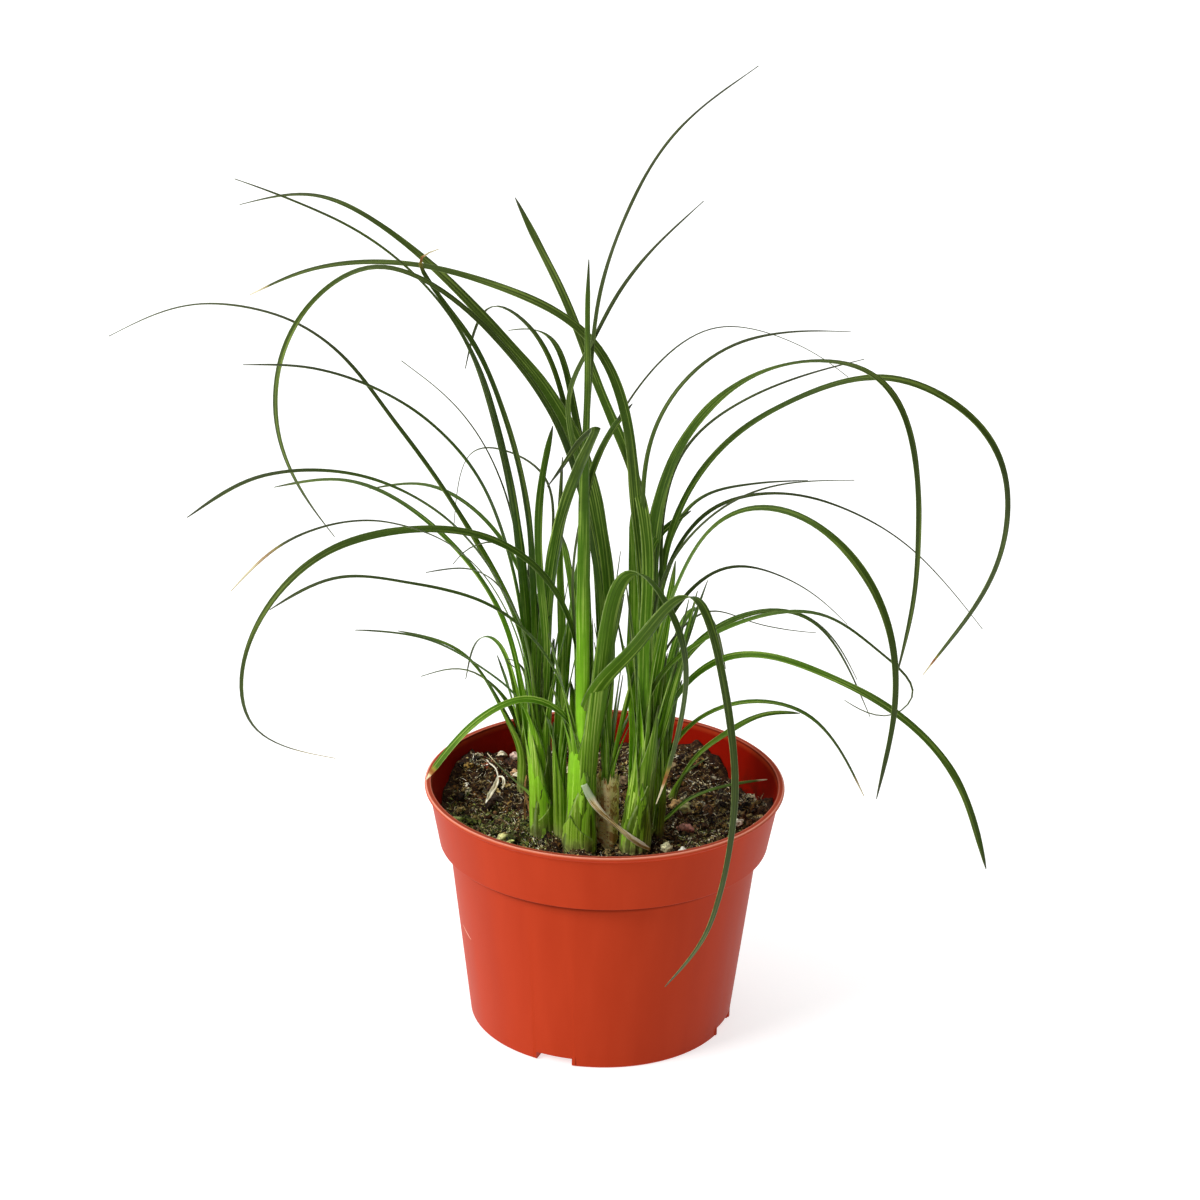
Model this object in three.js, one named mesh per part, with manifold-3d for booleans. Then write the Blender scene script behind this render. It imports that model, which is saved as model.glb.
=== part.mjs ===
// A potted ponytail palm: eight young, grass-like shoots in a six-inch plastic nursery pot.
// Millimetres, +Z up. The origin is the middle of the pot's flat bottom; the viewer stands at -Y.
import * as THREE from 'three';
import { mergeVertices } from 'three/addons/utils/BufferGeometryUtils.js';
import Module from 'manifold-3d';

const wasm = await Module();
wasm.setup();

// ---------------------------------------------------------------------------------------------
// Driving dimensions
// ---------------------------------------------------------------------------------------------
const GAP = 0.3; // clearance between pieces that touch
const MERGE = 1e-4; // vertices closer than this are one

// Pot
const POT_HEIGHT = 107;
const FOOT_RADIUS = 56.4; // outside, at the floor
const BODY_TOP_RADIUS = 65.9; // outside, where the body meets the band
const BAND_BOTTOM_RADIUS = 70;
const BAND_TOP_RADIUS = 74.8;
const RIM_RADIUS = 76.2; // outside of the bead round the rim
const BAND_HEIGHT = 26.3;
const BEAD_HEIGHT = 2.8;
const WALL = 1.4;
const FLOOR_THICK = 1.6;
const POT_SIDES = 48;
const FOOT_BEVEL = 0.8;
const EDGE_BEVEL = 0.5; // on the band's foot and the rim
const BEAD_FOOT_RISE = 1.4; // the bead reaches its full radius this far above its foot

// Drain channels under the pot, each run out through the foot, with a hole near its end
const CHANNEL_HEIGHT = 3.8;
const CHANNEL_WIDTH = 16;
const CHANNEL_INNER_END = 34; // distance of the closed end from the middle
const CHANNEL_HEADINGS = [-110, -20, 70, 160];
const DRAIN_RADIUS = 4;
const DRAIN_DISTANCE = 45;
const DRAIN_SIDES = 16;
const PAST = 5; // how far a cut runs past the surface it opens

// Soil
const SOIL_LEVEL = 92; // height of the soil's top, before its ups and downs
const SOIL_RINGS = 9;
const SOIL_SECTORS = POT_SIDES; // facets lie along the pot's
const SOIL_SWELLS = [
  { at: [-2, -28], rise: 2, spread: 30 }, // the stems have pushed it up
  { at: [40, 58], rise: 7, spread: 16 }, // a heap against the wall
  { at: [58, 30], rise: -4, spread: 19 }, // washed out beside it
  { at: [-62, -6], rise: -3, spread: 22 },
  { at: [-61, 36], rise: 9, spread: 20 }, // banked up against the wall at the back left
  { at: [71, 1], rise: 6, spread: 15 }, // and at the right
];
const COARSE_LUMPS = { rise: 0.9, run: 5 };
const FINE_LUMPS = { rise: 0.6, run: 3.1 };
const STEM_HOLE_DEPTH = 14;
const HOLE_SIDES = 20;

// Leaves and stems
const BLADE_THICK = 0.7;
const BLADE_STEP = 17; // length of one blade segment
const FEWEST_STEPS = 6;
const FINE_WIDTH = 0.8; // a blade ends this wide
const ROOT_SHARE = 0.72; // its root's width, as a share of its fullest
const FULLEST = 0.33; // where along its length it is fullest
const TAPER_POWER = 1.6;
const STEM_SIDES = 10;
const STEM_ABOVE_SOIL = 54;
const STEM_UPRIGHT = 4; // it leans only above this
const STEM_OUTLINE = [ // height above the soil, and radius as a share of the girth
  [-STEM_HOLE_DEPTH, 0.94],
  [STEM_UPRIGHT, 1],
  [20, 0.86],
  [43, 0.7],
  [STEM_ABOVE_SOIL, 0.4],
];
const ROOT_OFFSET = 0.35; // of the girth: how far off the stem's axis a leaf starts
const FIRST_PARTING = 16; // height above the soil where the first leaf leaves its stem
const PARTING_STEP = 2.5; // and how much higher each of the next ones does
const PARTINGS = 6; // before they start again from the lowest

// ---------------------------------------------------------------------------------------------
// The shoots. Each stands at a point of the soil, its sheathed stem leaning by `lean` at its top.
// A leaf grows toward its heading (degrees from +X toward +Y) and passes through points given as
// reach from the stem's foot and height above the floor. `roll` turns its flat face about its own
// length, in degrees, at its base and at its tip. A `parting` of its own, on a shoot or on a leaf,
// is the height above the soil where it leaves the stem.
// ---------------------------------------------------------------------------------------------
const SHOOTS = [
  {
    name: 'shoot_left', at: [-25, -21], girth: 6, lean: [-4, 1], colour: 0x4a8a1e,
    leaves: [
      { heading: 190, width: 5.5, roll: [-60, -35],
        through: [[8, 184], [18, 257], [42, 320], [76, 352], [122, 373]] },
      { heading: 184, width: 4, roll: [-50, -40],
        through: [[5, 187], [12, 253], [29, 302], [47, 330], [50, 339], [43, 343]] },
      { heading: 163, width: 4, roll: [-60, -30],
        through: [[10, 176], [31, 220], [66, 266], [107, 302], [153, 305], [191, 288]] },
      { heading: 200, width: 3.6, roll: [-50, -25],
        through: [[12, 198], [34, 258], [64, 288], [94, 302], [123, 306]] },
      { heading: 145, width: 1.6, roll: [-50, -30],
        through: [[14, 210], [32, 255], [53, 273], [75, 284]] },
      { heading: 215, width: 4, roll: [-40, -20],
        through: [[11, 177], [34, 225], [65, 254], [101, 269], [132, 272], [161, 262]] },
      { heading: 155, width: 3.6, roll: [-60, -35],
        through: [[11, 155], [28, 197], [58, 223], [95, 232], [128, 224]] },
      { heading: 232, width: 3.6, roll: [-30, -10],
        through: [[20, 189], [44, 223], [85, 251], [131, 263], [160, 260], [178, 252]] },
      { heading: 222, width: 3.6, roll: [-40, -15],
        through: [[12, 152], [32, 173], [65, 196], [97, 207]] },
      { heading: 245, width: 2.2, roll: [-20, -10],
        through: [[21, 190], [45, 218], [75, 235], [102, 242]] },
      { heading: 150, width: 3, roll: [-60, -30],
        through: [[8, 195], [27, 223], [59, 235], [87, 228]] },
      { heading: 165, width: 2, roll: [-60, -40],
        through: [[7, 204], [18, 218], [34, 214], [40, 207]] },
      { heading: 130, width: 2.2, roll: [-60, -40],
        through: [[-1, 205], [2, 248], [26, 253], [52, 244], [63, 212]] },
      { heading: -72, width: 6, roll: [20, 0],
        through: [[-2, 178], [17, 236], [39, 265], [56, 282], [61, 288], [47, 282], [16, 257], [0, 245]] },
      { heading: 70, width: 4, roll: [10, 30], through: [[-2, 179], [-10, 217], [-8, 250], [5, 269]] },
    ],
  },
  {
    name: 'shoot_inner', at: [-17.5, -28], girth: 3.2, lean: [-3, 2], colour: 0x46731f,
    leaves: [
      { heading: 100, width: 4.5, roll: [0, -20], through: [[8, 180], [14, 225], [12, 256]] },
      { heading: 85, width: 3.6, roll: [0, 20], through: [[10, 160], [36, 192], [74, 190], [100, 162]] },
    ],
  },
  {
    name: 'shoot_front', at: [-10, -38], girth: 7, lean: [1, 1], colour: 0x55a01c,
    leaves: [
      { heading: 270, width: 6.5, roll: [0, 30], through: [[4, 187], [4, 230], [4, 289], [4, 344]] },
      { heading: 50, width: 2.6, roll: [0, 20],
        through: [[1, 220], [1, 280], [14, 344], [45, 380], [102, 404]] },
      { heading: 33, width: 4, roll: [20, 30], through: [[1, 220], [1, 249], [12, 272], [22, 282]] },
      { heading: 50, width: 3, roll: [20, 20],
        through: [[1, 190], [-2, 254], [-9, 295], [1, 308], [18, 326], [34, 337], [70, 354]] },
      { heading: 205, width: 5, roll: [-50, -30],
        through: [[7, 196], [35, 231], [79, 243], [116, 234], [140, 205], [140, 173], [106, 152]] },
      { heading: 215, width: 4, roll: [-50, -20],
        through: [[12, 173], [49, 213], [81, 227], [115, 235], [142, 228]] },
      { heading: 200, width: 4.5, roll: [-50, -25],
        through: [[5, 149], [24, 163], [42, 158], [66, 133]] },
      { heading: 150, width: 4.5, roll: [-60, -60], through: [[3, 190], [10, 228]] },
      { heading: 33, width: 1.8, roll: [20, 10],
        through: [[1, 249], [12, 272], [30, 294], [58, 307], [101, 295], [128, 277]] },
      { heading: -50, width: 6.5, roll: [50, 10],
        through: [[4, 154], [35, 195], [66, 224], [88, 182], [92, 136], [79, 87], [56, 53]] },
      { heading: -45, width: 6.5, roll: [30, 10],
        through: [[10, 163], [32, 223], [52, 206], [57, 178], [43, 128]] },
    ],
  },
  {
    name: 'shoot_middle', at: [1, -32], girth: 3, lean: [0, 2], colour: 0x447a20, parting: 35,
    leaves: [
      { heading: 158, width: 6.5, roll: [-60, -35],
        through: [[3, 201], [18, 268], [50, 306], [91, 338], [130, 353], [165, 346]] },
      { heading: 188, width: 4.5, roll: [-50, -30],
        through: [[5, 201], [19, 268], [53, 317], [96, 340], [129, 307], [128, 263], [110, 232]] },
      { heading: 140, width: 2.2, roll: [-50, -40],
        through: [[4, 200], [23, 268], [43, 305], [63, 311], [80, 281]] },
      { heading: 125, width: 5, roll: [-30, -30],
        through: [[3, 200], [25, 266], [44, 298], [76, 295]] },
    ],
  },
  {
    name: 'shoot_right', at: [12.5, -37], girth: 6.3, lean: [6, 2], colour: 0x3f7a1f,
    leaves: [
      { heading: 165, width: 5, roll: [-60, -40],
        through: [[-3, 186], [4, 253], [19, 305], [58, 327], [103, 333], [134, 329], [164, 315]] },
      { heading: 125, width: 4.5, roll: [-40, -20],
        through: [[-4, 187], [1, 245], [22, 274], [50, 308], [94, 348]] },
      { heading: 25, width: 3.6, roll: [50, 30],
        through: [[4, 185], [0, 240], [9, 283], [40, 305], [91, 305]] },
      { heading: 15, width: 2, roll: [50, 30],
        through: [[5, 177], [16, 223], [43, 245], [88, 248]] },
      { heading: -25, width: 5, roll: [40, 30],
        through: [[6, 165], [16, 212], [45, 249], [80, 244], [107, 204], [105, 138]] },
      { heading: -5, width: 3.5, roll: [50, 30],
        through: [[6, 164], [33, 192], [72, 201], [98, 185], [111, 167], [104, 159], [94, 159], [84, 164]] },
      { heading: 100, width: 5, roll: [0, 0], through: [[8, 165], [12, 200], [23, 234]] },
    ],
  },
  {
    name: 'shoot_back', at: [21, -11], girth: 4.4, lean: [1, 3], colour: 0x3c6f1f,
    leaves: [
      { heading: -15, width: 6, roll: [60, 45],
        through: [[-3, 185], [6, 257], [39, 294], [82, 298], [105, 236], [99, 169]] },
      { heading: 30, width: 2.2, roll: [50, 30],
        through: [[1, 195], [9, 255], [37, 273], [96, 283]] },
      { heading: 0, width: 5, roll: [60, 45],
        through: [[0, 180], [15, 249], [46, 277], [93, 289], [136, 255], [136, 210], [110, 162]] },
      { heading: 50, width: 2.5, roll: [40, 25],
        through: [[0, 195], [14, 226], [53, 230], [100, 220]] },
      { heading: 20, width: 4, roll: [50, 40], through: [[-3, 185], [0, 222], [13, 231]] },
      { heading: 15, width: 3, roll: [60, 35],
        through: [[-1, 185], [22, 232], [67, 232], [101, 214], [143, 168]] },
      { heading: 40, width: 3, roll: [50, 30],
        through: [[3, 179], [28, 198], [57, 194], [109, 157]] },
      { heading: 25, width: 3.5, roll: [50, 30],
        through: [[5, 153], [26, 177], [70, 175], [95, 143]] },
      { heading: 45, width: 1.6, roll: [30, 20],
        through: [[4, 170], [24, 180], [57, 169], [99, 152]] },
      { heading: 35, width: 3.5, roll: [50, 30], through: [[11, 126], [37, 130], [78, 125]] },
      { heading: 95, width: 4.5, roll: [0, 20], through: [[8, 165], [30, 195], [62, 185], [80, 150]] },
      { heading: 70, width: 3.5, roll: [0, 20], through: [[8, 150], [32, 172], [70, 160], [92, 128]] },
    ],
  },
  {
    name: 'shoot_side', at: [22, -25], girth: 2.8, lean: [4, 1], colour: 0x477c26,
    leaves: [
      { heading: 10, width: 3.5, roll: [50, 30],
        through: [[3, 158], [23, 185], [52, 191], [90, 142]] },
      { heading: -20, width: 4.5, roll: [50, 40],
        through: [[3, 145], [31, 179], [72, 177], [122, 145], [140, 104]] },
      { heading: 0, width: 3.6, roll: [50, 40],
        through: [[7, 135], [31, 154], [58, 151], [86, 113]] },
      { heading: 39, width: 2.8, roll: [40, 20], parting: 2,
        through: [[4.4, 99.3], [12.4, 103.9], [26.1, 106.2], [42.9, 104.8], [61.5, 101.5]] },
    ],
  },
  {
    name: 'shoot_rear', at: [-35, 18], girth: 2.4, lean: [-1, 1], colour: 0x4a5f30,
    leaves: [
      { heading: 190, width: 3, roll: [-50, -30], through: [[8, 127], [27, 159], [54, 170]] },
      { heading: 165, width: 1.6, roll: [-50, -30], through: [[5, 128], [25, 146], [46, 141]] },
      { heading: 240, width: 2.5, roll: [-20, 0], through: [[-1, 126], [6, 155], [14, 159], [3, 150]] },
      { heading: 115, width: 3, roll: [0, -20], through: [[6, 128], [24, 150], [52, 142], [66, 120]] },
    ],
  },
];

// The dead leaf strip leans on nothing but the soil: x, y, z of the points it passes
const DRY_LEAF = {
  width: 2.4,
  across: [0.4, 0, 0.9],
  roll: [0, 20],
  through: [[-8.5, -47, 126], [-3.5, -46, 116], [4.5, -45, 107], [12.5, -44.5, 100], [19, -43, 95]],
};

// The papery old sheath is a part of a tube round the front of the middle shoot's foot. Its top
// has torn into points: each tear has a heading and a depth.
const SHEATH = {
  shoot: 'shoot_middle',
  thick: 0.9,
  above: 32,
  depth: 9,
  open: 0.2, // it ends this share of its radius behind the stem's middle
  sides: 18,
  thinTop: 6, // its wall thins over this height
  tearWidth: 2.8,
  tears: [[-150, 7], [-115, 2.5], [-82, 9], [-45, 4], [-18, 8]],
};

// ---------------------------------------------------------------------------------------------
// Helpers
// ---------------------------------------------------------------------------------------------
const radians = THREE.MathUtils.degToRad;

function headingVector(heading) {
  return new THREE.Vector3(Math.cos(radians(heading)), Math.sin(radians(heading)), 0);
}

function meshGeometry(positions, triangles) {
  const geometry = new THREE.BufferGeometry();
  geometry.setAttribute('position', new THREE.Float32BufferAttribute(positions, 3));
  geometry.setIndex(triangles);
  return geometry;
}

function toSolid(geometry) {
  const bare = geometry.clone();
  bare.deleteAttribute('normal');
  bare.deleteAttribute('uv');
  const merged = mergeVertices(bare, MERGE);
  return new wasm.Manifold(new wasm.Mesh({
    numProp: 3,
    vertProperties: new Float32Array(merged.attributes.position.array),
    triVerts: new Uint32Array(merged.index.array),
  }));
}

function toGeometry(solid) {
  const mesh = solid.getMesh();
  return meshGeometry(mesh.vertProperties, Array.from(mesh.triVerts));
}

function piece(name, solid, colour, roughness) {
  const material = new THREE.MeshStandardMaterial({ color: colour, roughness, metalness: 0 });
  const mesh = new THREE.Mesh(toGeometry(solid), material);
  mesh.name = name;
  return mesh;
}

// A natural cubic spline through the points, with the chord lengths as its parameter. It bends
// evenly, as a leaf does under its own weight. Returns a function of 0..1.
function smoothPath(points) {
  const knots = [0];
  for (let i = 1; i < points.length; i += 1) {
    knots.push(knots[i - 1] + points[i].distanceTo(points[i - 1]));
  }
  const last = points.length - 1;
  const bend = points.map(() => new THREE.Vector3());
  const upper = new Array(points.length).fill(0);
  for (let i = 1; i < last; i += 1) {
    const before = knots[i] - knots[i - 1];
    const after = knots[i + 1] - knots[i];
    const pivot = 2 * (before + after) - before * upper[i - 1];
    upper[i] = after / pivot;
    const slopeAfter = points[i + 1].clone().sub(points[i]).multiplyScalar(6 / after);
    const slopeBefore = points[i].clone().sub(points[i - 1]).multiplyScalar(6 / before);
    bend[i].copy(slopeAfter).sub(slopeBefore).addScaledVector(bend[i - 1], -before).divideScalar(pivot);
  }
  for (let i = last - 1; i > 0; i -= 1) bend[i].addScaledVector(bend[i + 1], -upper[i]);
  return (fraction) => {
    const at = fraction * knots[last];
    let i = 0;
    while (i < last - 1 && at > knots[i + 1]) i += 1;
    const span = knots[i + 1] - knots[i];
    const b = (at - knots[i]) / span;
    const a = 1 - b;
    return points[i].clone().multiplyScalar(a)
      .addScaledVector(points[i + 1], b)
      .addScaledVector(bend[i], ((a ** 3 - a) * span * span) / 6)
      .addScaledVector(bend[i + 1], ((b ** 3 - b) * span * span) / 6);
  };
}

function pathLength(path) {
  const chords = 60;
  let length = 0;
  for (let i = 0; i < chords; i += 1) length += path(i / chords).distanceTo(path((i + 1) / chords));
  return length;
}

// ---------------------------------------------------------------------------------------------
// Pot
// ---------------------------------------------------------------------------------------------
function bodyRadius(z) {
  const share = z / (POT_HEIGHT - BAND_HEIGHT);
  return FOOT_RADIUS + (BODY_TOP_RADIUS - FOOT_RADIUS) * share;
}

function bandRadius(z) {
  const share = (z - POT_HEIGHT + BAND_HEIGHT) / BAND_HEIGHT;
  return BAND_BOTTOM_RADIUS + (BAND_TOP_RADIUS - BAND_BOTTOM_RADIUS) * share;
}

function lathe(outline, sides) {
  return toSolid(new THREE.LatheGeometry(outline.map(([r, z]) => new THREE.Vector2(r, z)), sides)
    .rotateX(Math.PI / 2));
}

// A box lying along the heading from one distance to another, between two levels
function radialBox([near, far], width, [low, high], heading) {
  return toSolid(new THREE.BoxGeometry(far - near, width, high - low)
    .translate((near + far) / 2, 0, (low + high) / 2)
    .rotateZ(radians(heading)));
}

function makePot() {
  const bandFoot = POT_HEIGHT - BAND_HEIGHT;
  const beadFoot = POT_HEIGHT - BEAD_HEIGHT;
  const stepInside = bandFoot + WALL;
  const shell = lathe([
    [0, 0],
    [FOOT_RADIUS - FOOT_BEVEL, 0],
    [FOOT_RADIUS, FOOT_BEVEL],
    [BODY_TOP_RADIUS, bandFoot],
    [BAND_BOTTOM_RADIUS - EDGE_BEVEL, bandFoot],
    [BAND_BOTTOM_RADIUS, bandFoot + EDGE_BEVEL],
    [bandRadius(beadFoot), beadFoot],
    [RIM_RADIUS, beadFoot + BEAD_FOOT_RISE],
    [RIM_RADIUS - EDGE_BEVEL, POT_HEIGHT - EDGE_BEVEL],
    [bandRadius(POT_HEIGHT), POT_HEIGHT],
    [bandRadius(POT_HEIGHT) - WALL, POT_HEIGHT - EDGE_BEVEL],
    [bandRadius(stepInside) - WALL, stepInside],
    [bodyRadius(stepInside) - WALL, stepInside],
    [bodyRadius(FLOOR_THICK) - WALL, FLOOR_THICK],
    [0, FLOOR_THICK],
  ], POT_SIDES);

  // Each channel is a raised tunnel in the floor: its outside is joined on inside the pot, and
  // its hollow is then cut from below, out through the foot.
  const tunnelEnds = [CHANNEL_INNER_END - WALL, bodyRadius(CHANNEL_HEIGHT) - WALL / 2];
  const tunnelLevels = [FLOOR_THICK / 2, CHANNEL_HEIGHT + FLOOR_THICK];
  const hollowEnds = [CHANNEL_INNER_END, FOOT_RADIUS + PAST];
  const hollowLevels = [-PAST, CHANNEL_HEIGHT];
  let pot = shell;
  for (const heading of CHANNEL_HEADINGS) {
    pot = pot.add(radialBox(tunnelEnds, CHANNEL_WIDTH + 2 * WALL, tunnelLevels, heading));
  }
  for (const heading of CHANNEL_HEADINGS) {
    const hollow = radialBox(hollowEnds, CHANNEL_WIDTH, hollowLevels, heading);
    const drain = new THREE.CylinderGeometry(DRAIN_RADIUS, DRAIN_RADIUS, 4 * CHANNEL_HEIGHT, DRAIN_SIDES)
      .rotateX(Math.PI / 2)
      .translate(DRAIN_DISTANCE, 0, 0)
      .rotateZ(radians(heading));
    pot = pot.subtract(hollow).subtract(toSolid(drain));
  }
  return pot;
}

// ---------------------------------------------------------------------------------------------
// Soil
// ---------------------------------------------------------------------------------------------
function soilHeight(x, y) {
  let height = SOIL_LEVEL;
  for (const { at, rise, spread } of SOIL_SWELLS) {
    height += rise * Math.exp(-((x - at[0]) ** 2 + (y - at[1]) ** 2) / spread ** 2);
  }
  height += COARSE_LUMPS.rise * Math.sin(x / COARSE_LUMPS.run) * Math.cos(y / COARSE_LUMPS.run);
  height += FINE_LUMPS.rise * Math.sin((x + y) / FINE_LUMPS.run);
  return height;
}

// Stones and bark lying in the soil: where, how long, wide and high
const STONES = [
  { at: [-62, -10], size: [5, 4, 3.6] },
  { at: [-42, -28], size: [5.5, 3.6, 3] },
  { at: [-47, 10], size: [6.5, 4.5, 3] },
  { at: [-39, 31], size: [5, 3, 3] },
  { at: [-40, 49], size: [4, 3.4, 3] },
  { at: [31, 8], size: [5, 4.4, 4] },
  { at: [34, -3], size: [6, 4, 4] },
  { at: [34, -20], size: [6.5, 4.4, 4] },
  { at: [26, -37], size: [5, 4, 4] },
  { at: [33, -39], size: [4.5, 3.2, 3] },
  { at: [56, -14], size: [5, 3.6, 3] },
  { at: [48, -34], size: [3.6, 3, 2.6] },
  { at: [8, 30], size: [5, 4, 3.2] },
  { at: [-10, 48], size: [4.4, 4, 3] },
  { at: [30, 44], size: [4, 3.4, 3] },
  { at: [-50, -38], size: [3.6, 3.2, 2.8] },
];
const STONE_TURN = 1.3; // each is turned this many radians more than the one before
const STONE_RISE = 0.15; // its middle lies this share of its height above the soil
const TWIG = { from: [-45, 44], to: [-37, 26], radius: 0.8, sides: 6 };

function soilEdge(angle) {
  const reach = bandRadius(SOIL_LEVEL) - WALL - GAP;
  const level = soilHeight(reach * Math.cos(angle), reach * Math.sin(angle));
  return [bandRadius(level) - WALL - GAP, level];
}

function makeSoil() {
  const positions = [];
  const rings = [];
  const addRing = (place) => {
    const ring = [];
    for (let s = 0; s < SOIL_SECTORS; s += 1) {
      ring.push(positions.length / 3);
      positions.push(...place((s / SOIL_SECTORS) * 2 * Math.PI));
    }
    rings.push(ring);
  };
  const flatRing = (radius, z) => addRing((a) => [radius * Math.cos(a), radius * Math.sin(a), z]);
  const stepTop = POT_HEIGHT - BAND_HEIGHT + WALL + GAP;
  const bottom = CHANNEL_HEIGHT + FLOOR_THICK + GAP;
  flatRing(bodyRadius(bottom) - WALL - GAP, bottom);
  flatRing(bodyRadius(stepTop) - WALL - GAP, stepTop);
  flatRing(bandRadius(stepTop) - WALL - GAP, stepTop);
  for (let r = SOIL_RINGS; r > 0; r -= 1) {
    addRing((a) => {
      const [edge, level] = soilEdge(a);
      const reach = (edge * r) / SOIL_RINGS;
      const x = reach * Math.cos(a);
      const y = reach * Math.sin(a);
      return [x, y, r === SOIL_RINGS ? level : soilHeight(x, y)];
    });
  }
  const triangles = [];
  for (let k = 0; k < rings.length - 1; k += 1) {
    for (let s = 0; s < SOIL_SECTORS; s += 1) {
      const next = (s + 1) % SOIL_SECTORS;
      const [a, b] = [rings[k][s], rings[k][next]];
      const [c, d] = [rings[k + 1][next], rings[k + 1][s]];
      triangles.push(a, b, c, a, c, d);
    }
  }
  const closeWith = (ring, centre, outward) => {
    const middle = positions.length / 3;
    positions.push(...centre);
    for (let s = 0; s < SOIL_SECTORS; s += 1) {
      const next = (s + 1) % SOIL_SECTORS;
      triangles.push(...(outward ? [ring[s], ring[next], middle] : [ring[next], ring[s], middle]));
    }
  };
  closeWith(rings[0], [0, 0, bottom], false);
  closeWith(rings.at(-1), [0, 0, soilHeight(0, 0)], true);
  let soil = toSolid(meshGeometry(positions, triangles));

  STONES.forEach(({ at, size }, i) => {
    const stone = new THREE.OctahedronGeometry(0.5, 1)
      .scale(...size)
      .rotateZ(i * STONE_TURN)
      .translate(at[0], at[1], soilHeight(...at) + STONE_RISE * size[2]);
    soil = soil.add(toSolid(stone));
  });
  const onSoil = ([x, y]) => new THREE.Vector3(x, y, soilHeight(x, y) + TWIG.radius);
  const start = onSoil(TWIG.from);
  const along = onSoil(TWIG.to).sub(start);
  const upright = new THREE.Vector3(0, 1, 0);
  const turn = new THREE.Quaternion().setFromUnitVectors(upright, along.clone().normalize());
  const twig = new THREE.CylinderGeometry(TWIG.radius, TWIG.radius, along.length(), TWIG.sides)
    .applyQuaternion(turn)
    .translate(...start.addScaledVector(along, 0.5).toArray());
  soil = soil.add(toSolid(twig));

  for (const shoot of SHOOTS) {
    const inside = (shoot.name === SHEATH.shoot ? sheathRadius(shoot) : shoot.girth) + GAP;
    const radius = inside / Math.cos(Math.PI / HOLE_SIDES);
    const height = STEM_HOLE_DEPTH + 2 * PAST;
    const hole = new THREE.CylinderGeometry(radius, radius, height, HOLE_SIDES)
      .rotateX(Math.PI / 2)
      .translate(shoot.at[0], shoot.at[1], stemFoot(shoot) - GAP + height / 2);
    soil = soil.subtract(toSolid(hole));
  }
  return soil;
}

// ---------------------------------------------------------------------------------------------
// Shoots
// ---------------------------------------------------------------------------------------------
function stemFoot({ at }) {
  return soilHeight(...at) - STEM_HOLE_DEPTH;
}

// Joins rings of equal count into a closed skin with flat ends
function skinRings(rings) {
  const count = rings[0].length;
  const positions = rings.flat().flatMap((p) => p.toArray());
  const triangles = [];
  for (let k = 0; k < rings.length - 1; k += 1) {
    for (let s = 0; s < count; s += 1) {
      const next = (s + 1) % count;
      const [a, b, c, d] = [k * count + s, k * count + next, (k + 1) * count + next, (k + 1) * count + s];
      triangles.push(a, b, c, a, c, d);
    }
  }
  const top = (rings.length - 1) * count;
  for (let s = 1; s < count - 1; s += 1) {
    triangles.push(0, s + 1, s, top, top + s, top + s + 1);
  }
  return meshGeometry(positions, triangles);
}

function stemAxis(shoot, z) {
  const bend = soilHeight(...shoot.at) + STEM_UPRIGHT;
  const share = Math.max(0, z - bend) / STEM_ABOVE_SOIL;
  return new THREE.Vector3(shoot.at[0] + shoot.lean[0] * share, shoot.at[1] + shoot.lean[1] * share, z);
}

function makeStem(shoot) {
  const ground = soilHeight(...shoot.at);
  const rings = STEM_OUTLINE.map(([above, share]) => {
    const centre = stemAxis(shoot, ground + above);
    const ring = [];
    for (let s = 0; s < STEM_SIDES; s += 1) {
      ring.push(headingVector((s / STEM_SIDES) * 360).multiplyScalar(shoot.girth * share).add(centre));
    }
    return ring;
  });
  return toSolid(skinRings(rings));
}

// A blade swells from its root to its fullest and then draws out to a fine end
function bladeWidth(width, share) {
  const swell = ROOT_SHARE + (1 - ROOT_SHARE) * Math.sin(Math.min(1, share / FULLEST) * (Math.PI / 2));
  const taper = 1 - Math.max(0, (share - FULLEST) / (1 - FULLEST)) ** TAPER_POWER;
  return Math.max(FINE_WIDTH, width * swell * taper);
}

// Sweeps a flat strip along the path. `across` is the side it would lie on with no roll.
function makeBlade(path, across, width, roll) {
  const steps = Math.max(FEWEST_STEPS, Math.round(pathLength(path) / BLADE_STEP));
  const rings = [];
  for (let k = 0; k <= steps; k += 1) {
    const share = k / steps;
    const centre = path(share);
    const along = path(Math.min(1, share + 0.01)).sub(path(Math.max(0, share - 0.01))).normalize();
    const turn = radians(THREE.MathUtils.lerp(roll[0], roll[1], share));
    const side = across.clone().addScaledVector(along, -across.dot(along)).normalize()
      .applyAxisAngle(along, turn);
    const face = along.clone().cross(side);
    const halfWidth = bladeWidth(width, share) / 2;
    rings.push([[1, -1], [1, 1], [-1, 1], [-1, -1]].map(([w, t]) => centre.clone()
      .addScaledVector(side, w * halfWidth)
      .addScaledVector(face, (t * BLADE_THICK) / 2)));
  }
  return toSolid(skinRings(rings));
}

function makeLeaf(shoot, leaf, index) {
  const parting = (shoot.parting ?? FIRST_PARTING) + PARTING_STEP * (index % PARTINGS);
  const sheathed = soilHeight(...shoot.at) + (leaf.parting ?? parting);
  const outward = headingVector(leaf.heading);
  const start = stemAxis(shoot, sheathed).addScaledVector(outward, ROOT_OFFSET * shoot.girth);
  const foot = new THREE.Vector3(shoot.at[0], shoot.at[1], 0);
  const points = leaf.through.map(([reach, height]) => (
    outward.clone().multiplyScalar(reach).add(foot).setZ(height)));
  return makeBlade(smoothPath([start, ...points]), headingVector(leaf.heading + 90), leaf.width, leaf.roll);
}

// Where blades cross they can seal a pocket between them: only the outer skin is kept.
function outerSkin(solid) {
  return solid.decompose().reduce((best, shell) => (shell.volume() > best.volume() ? shell : best));
}

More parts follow.
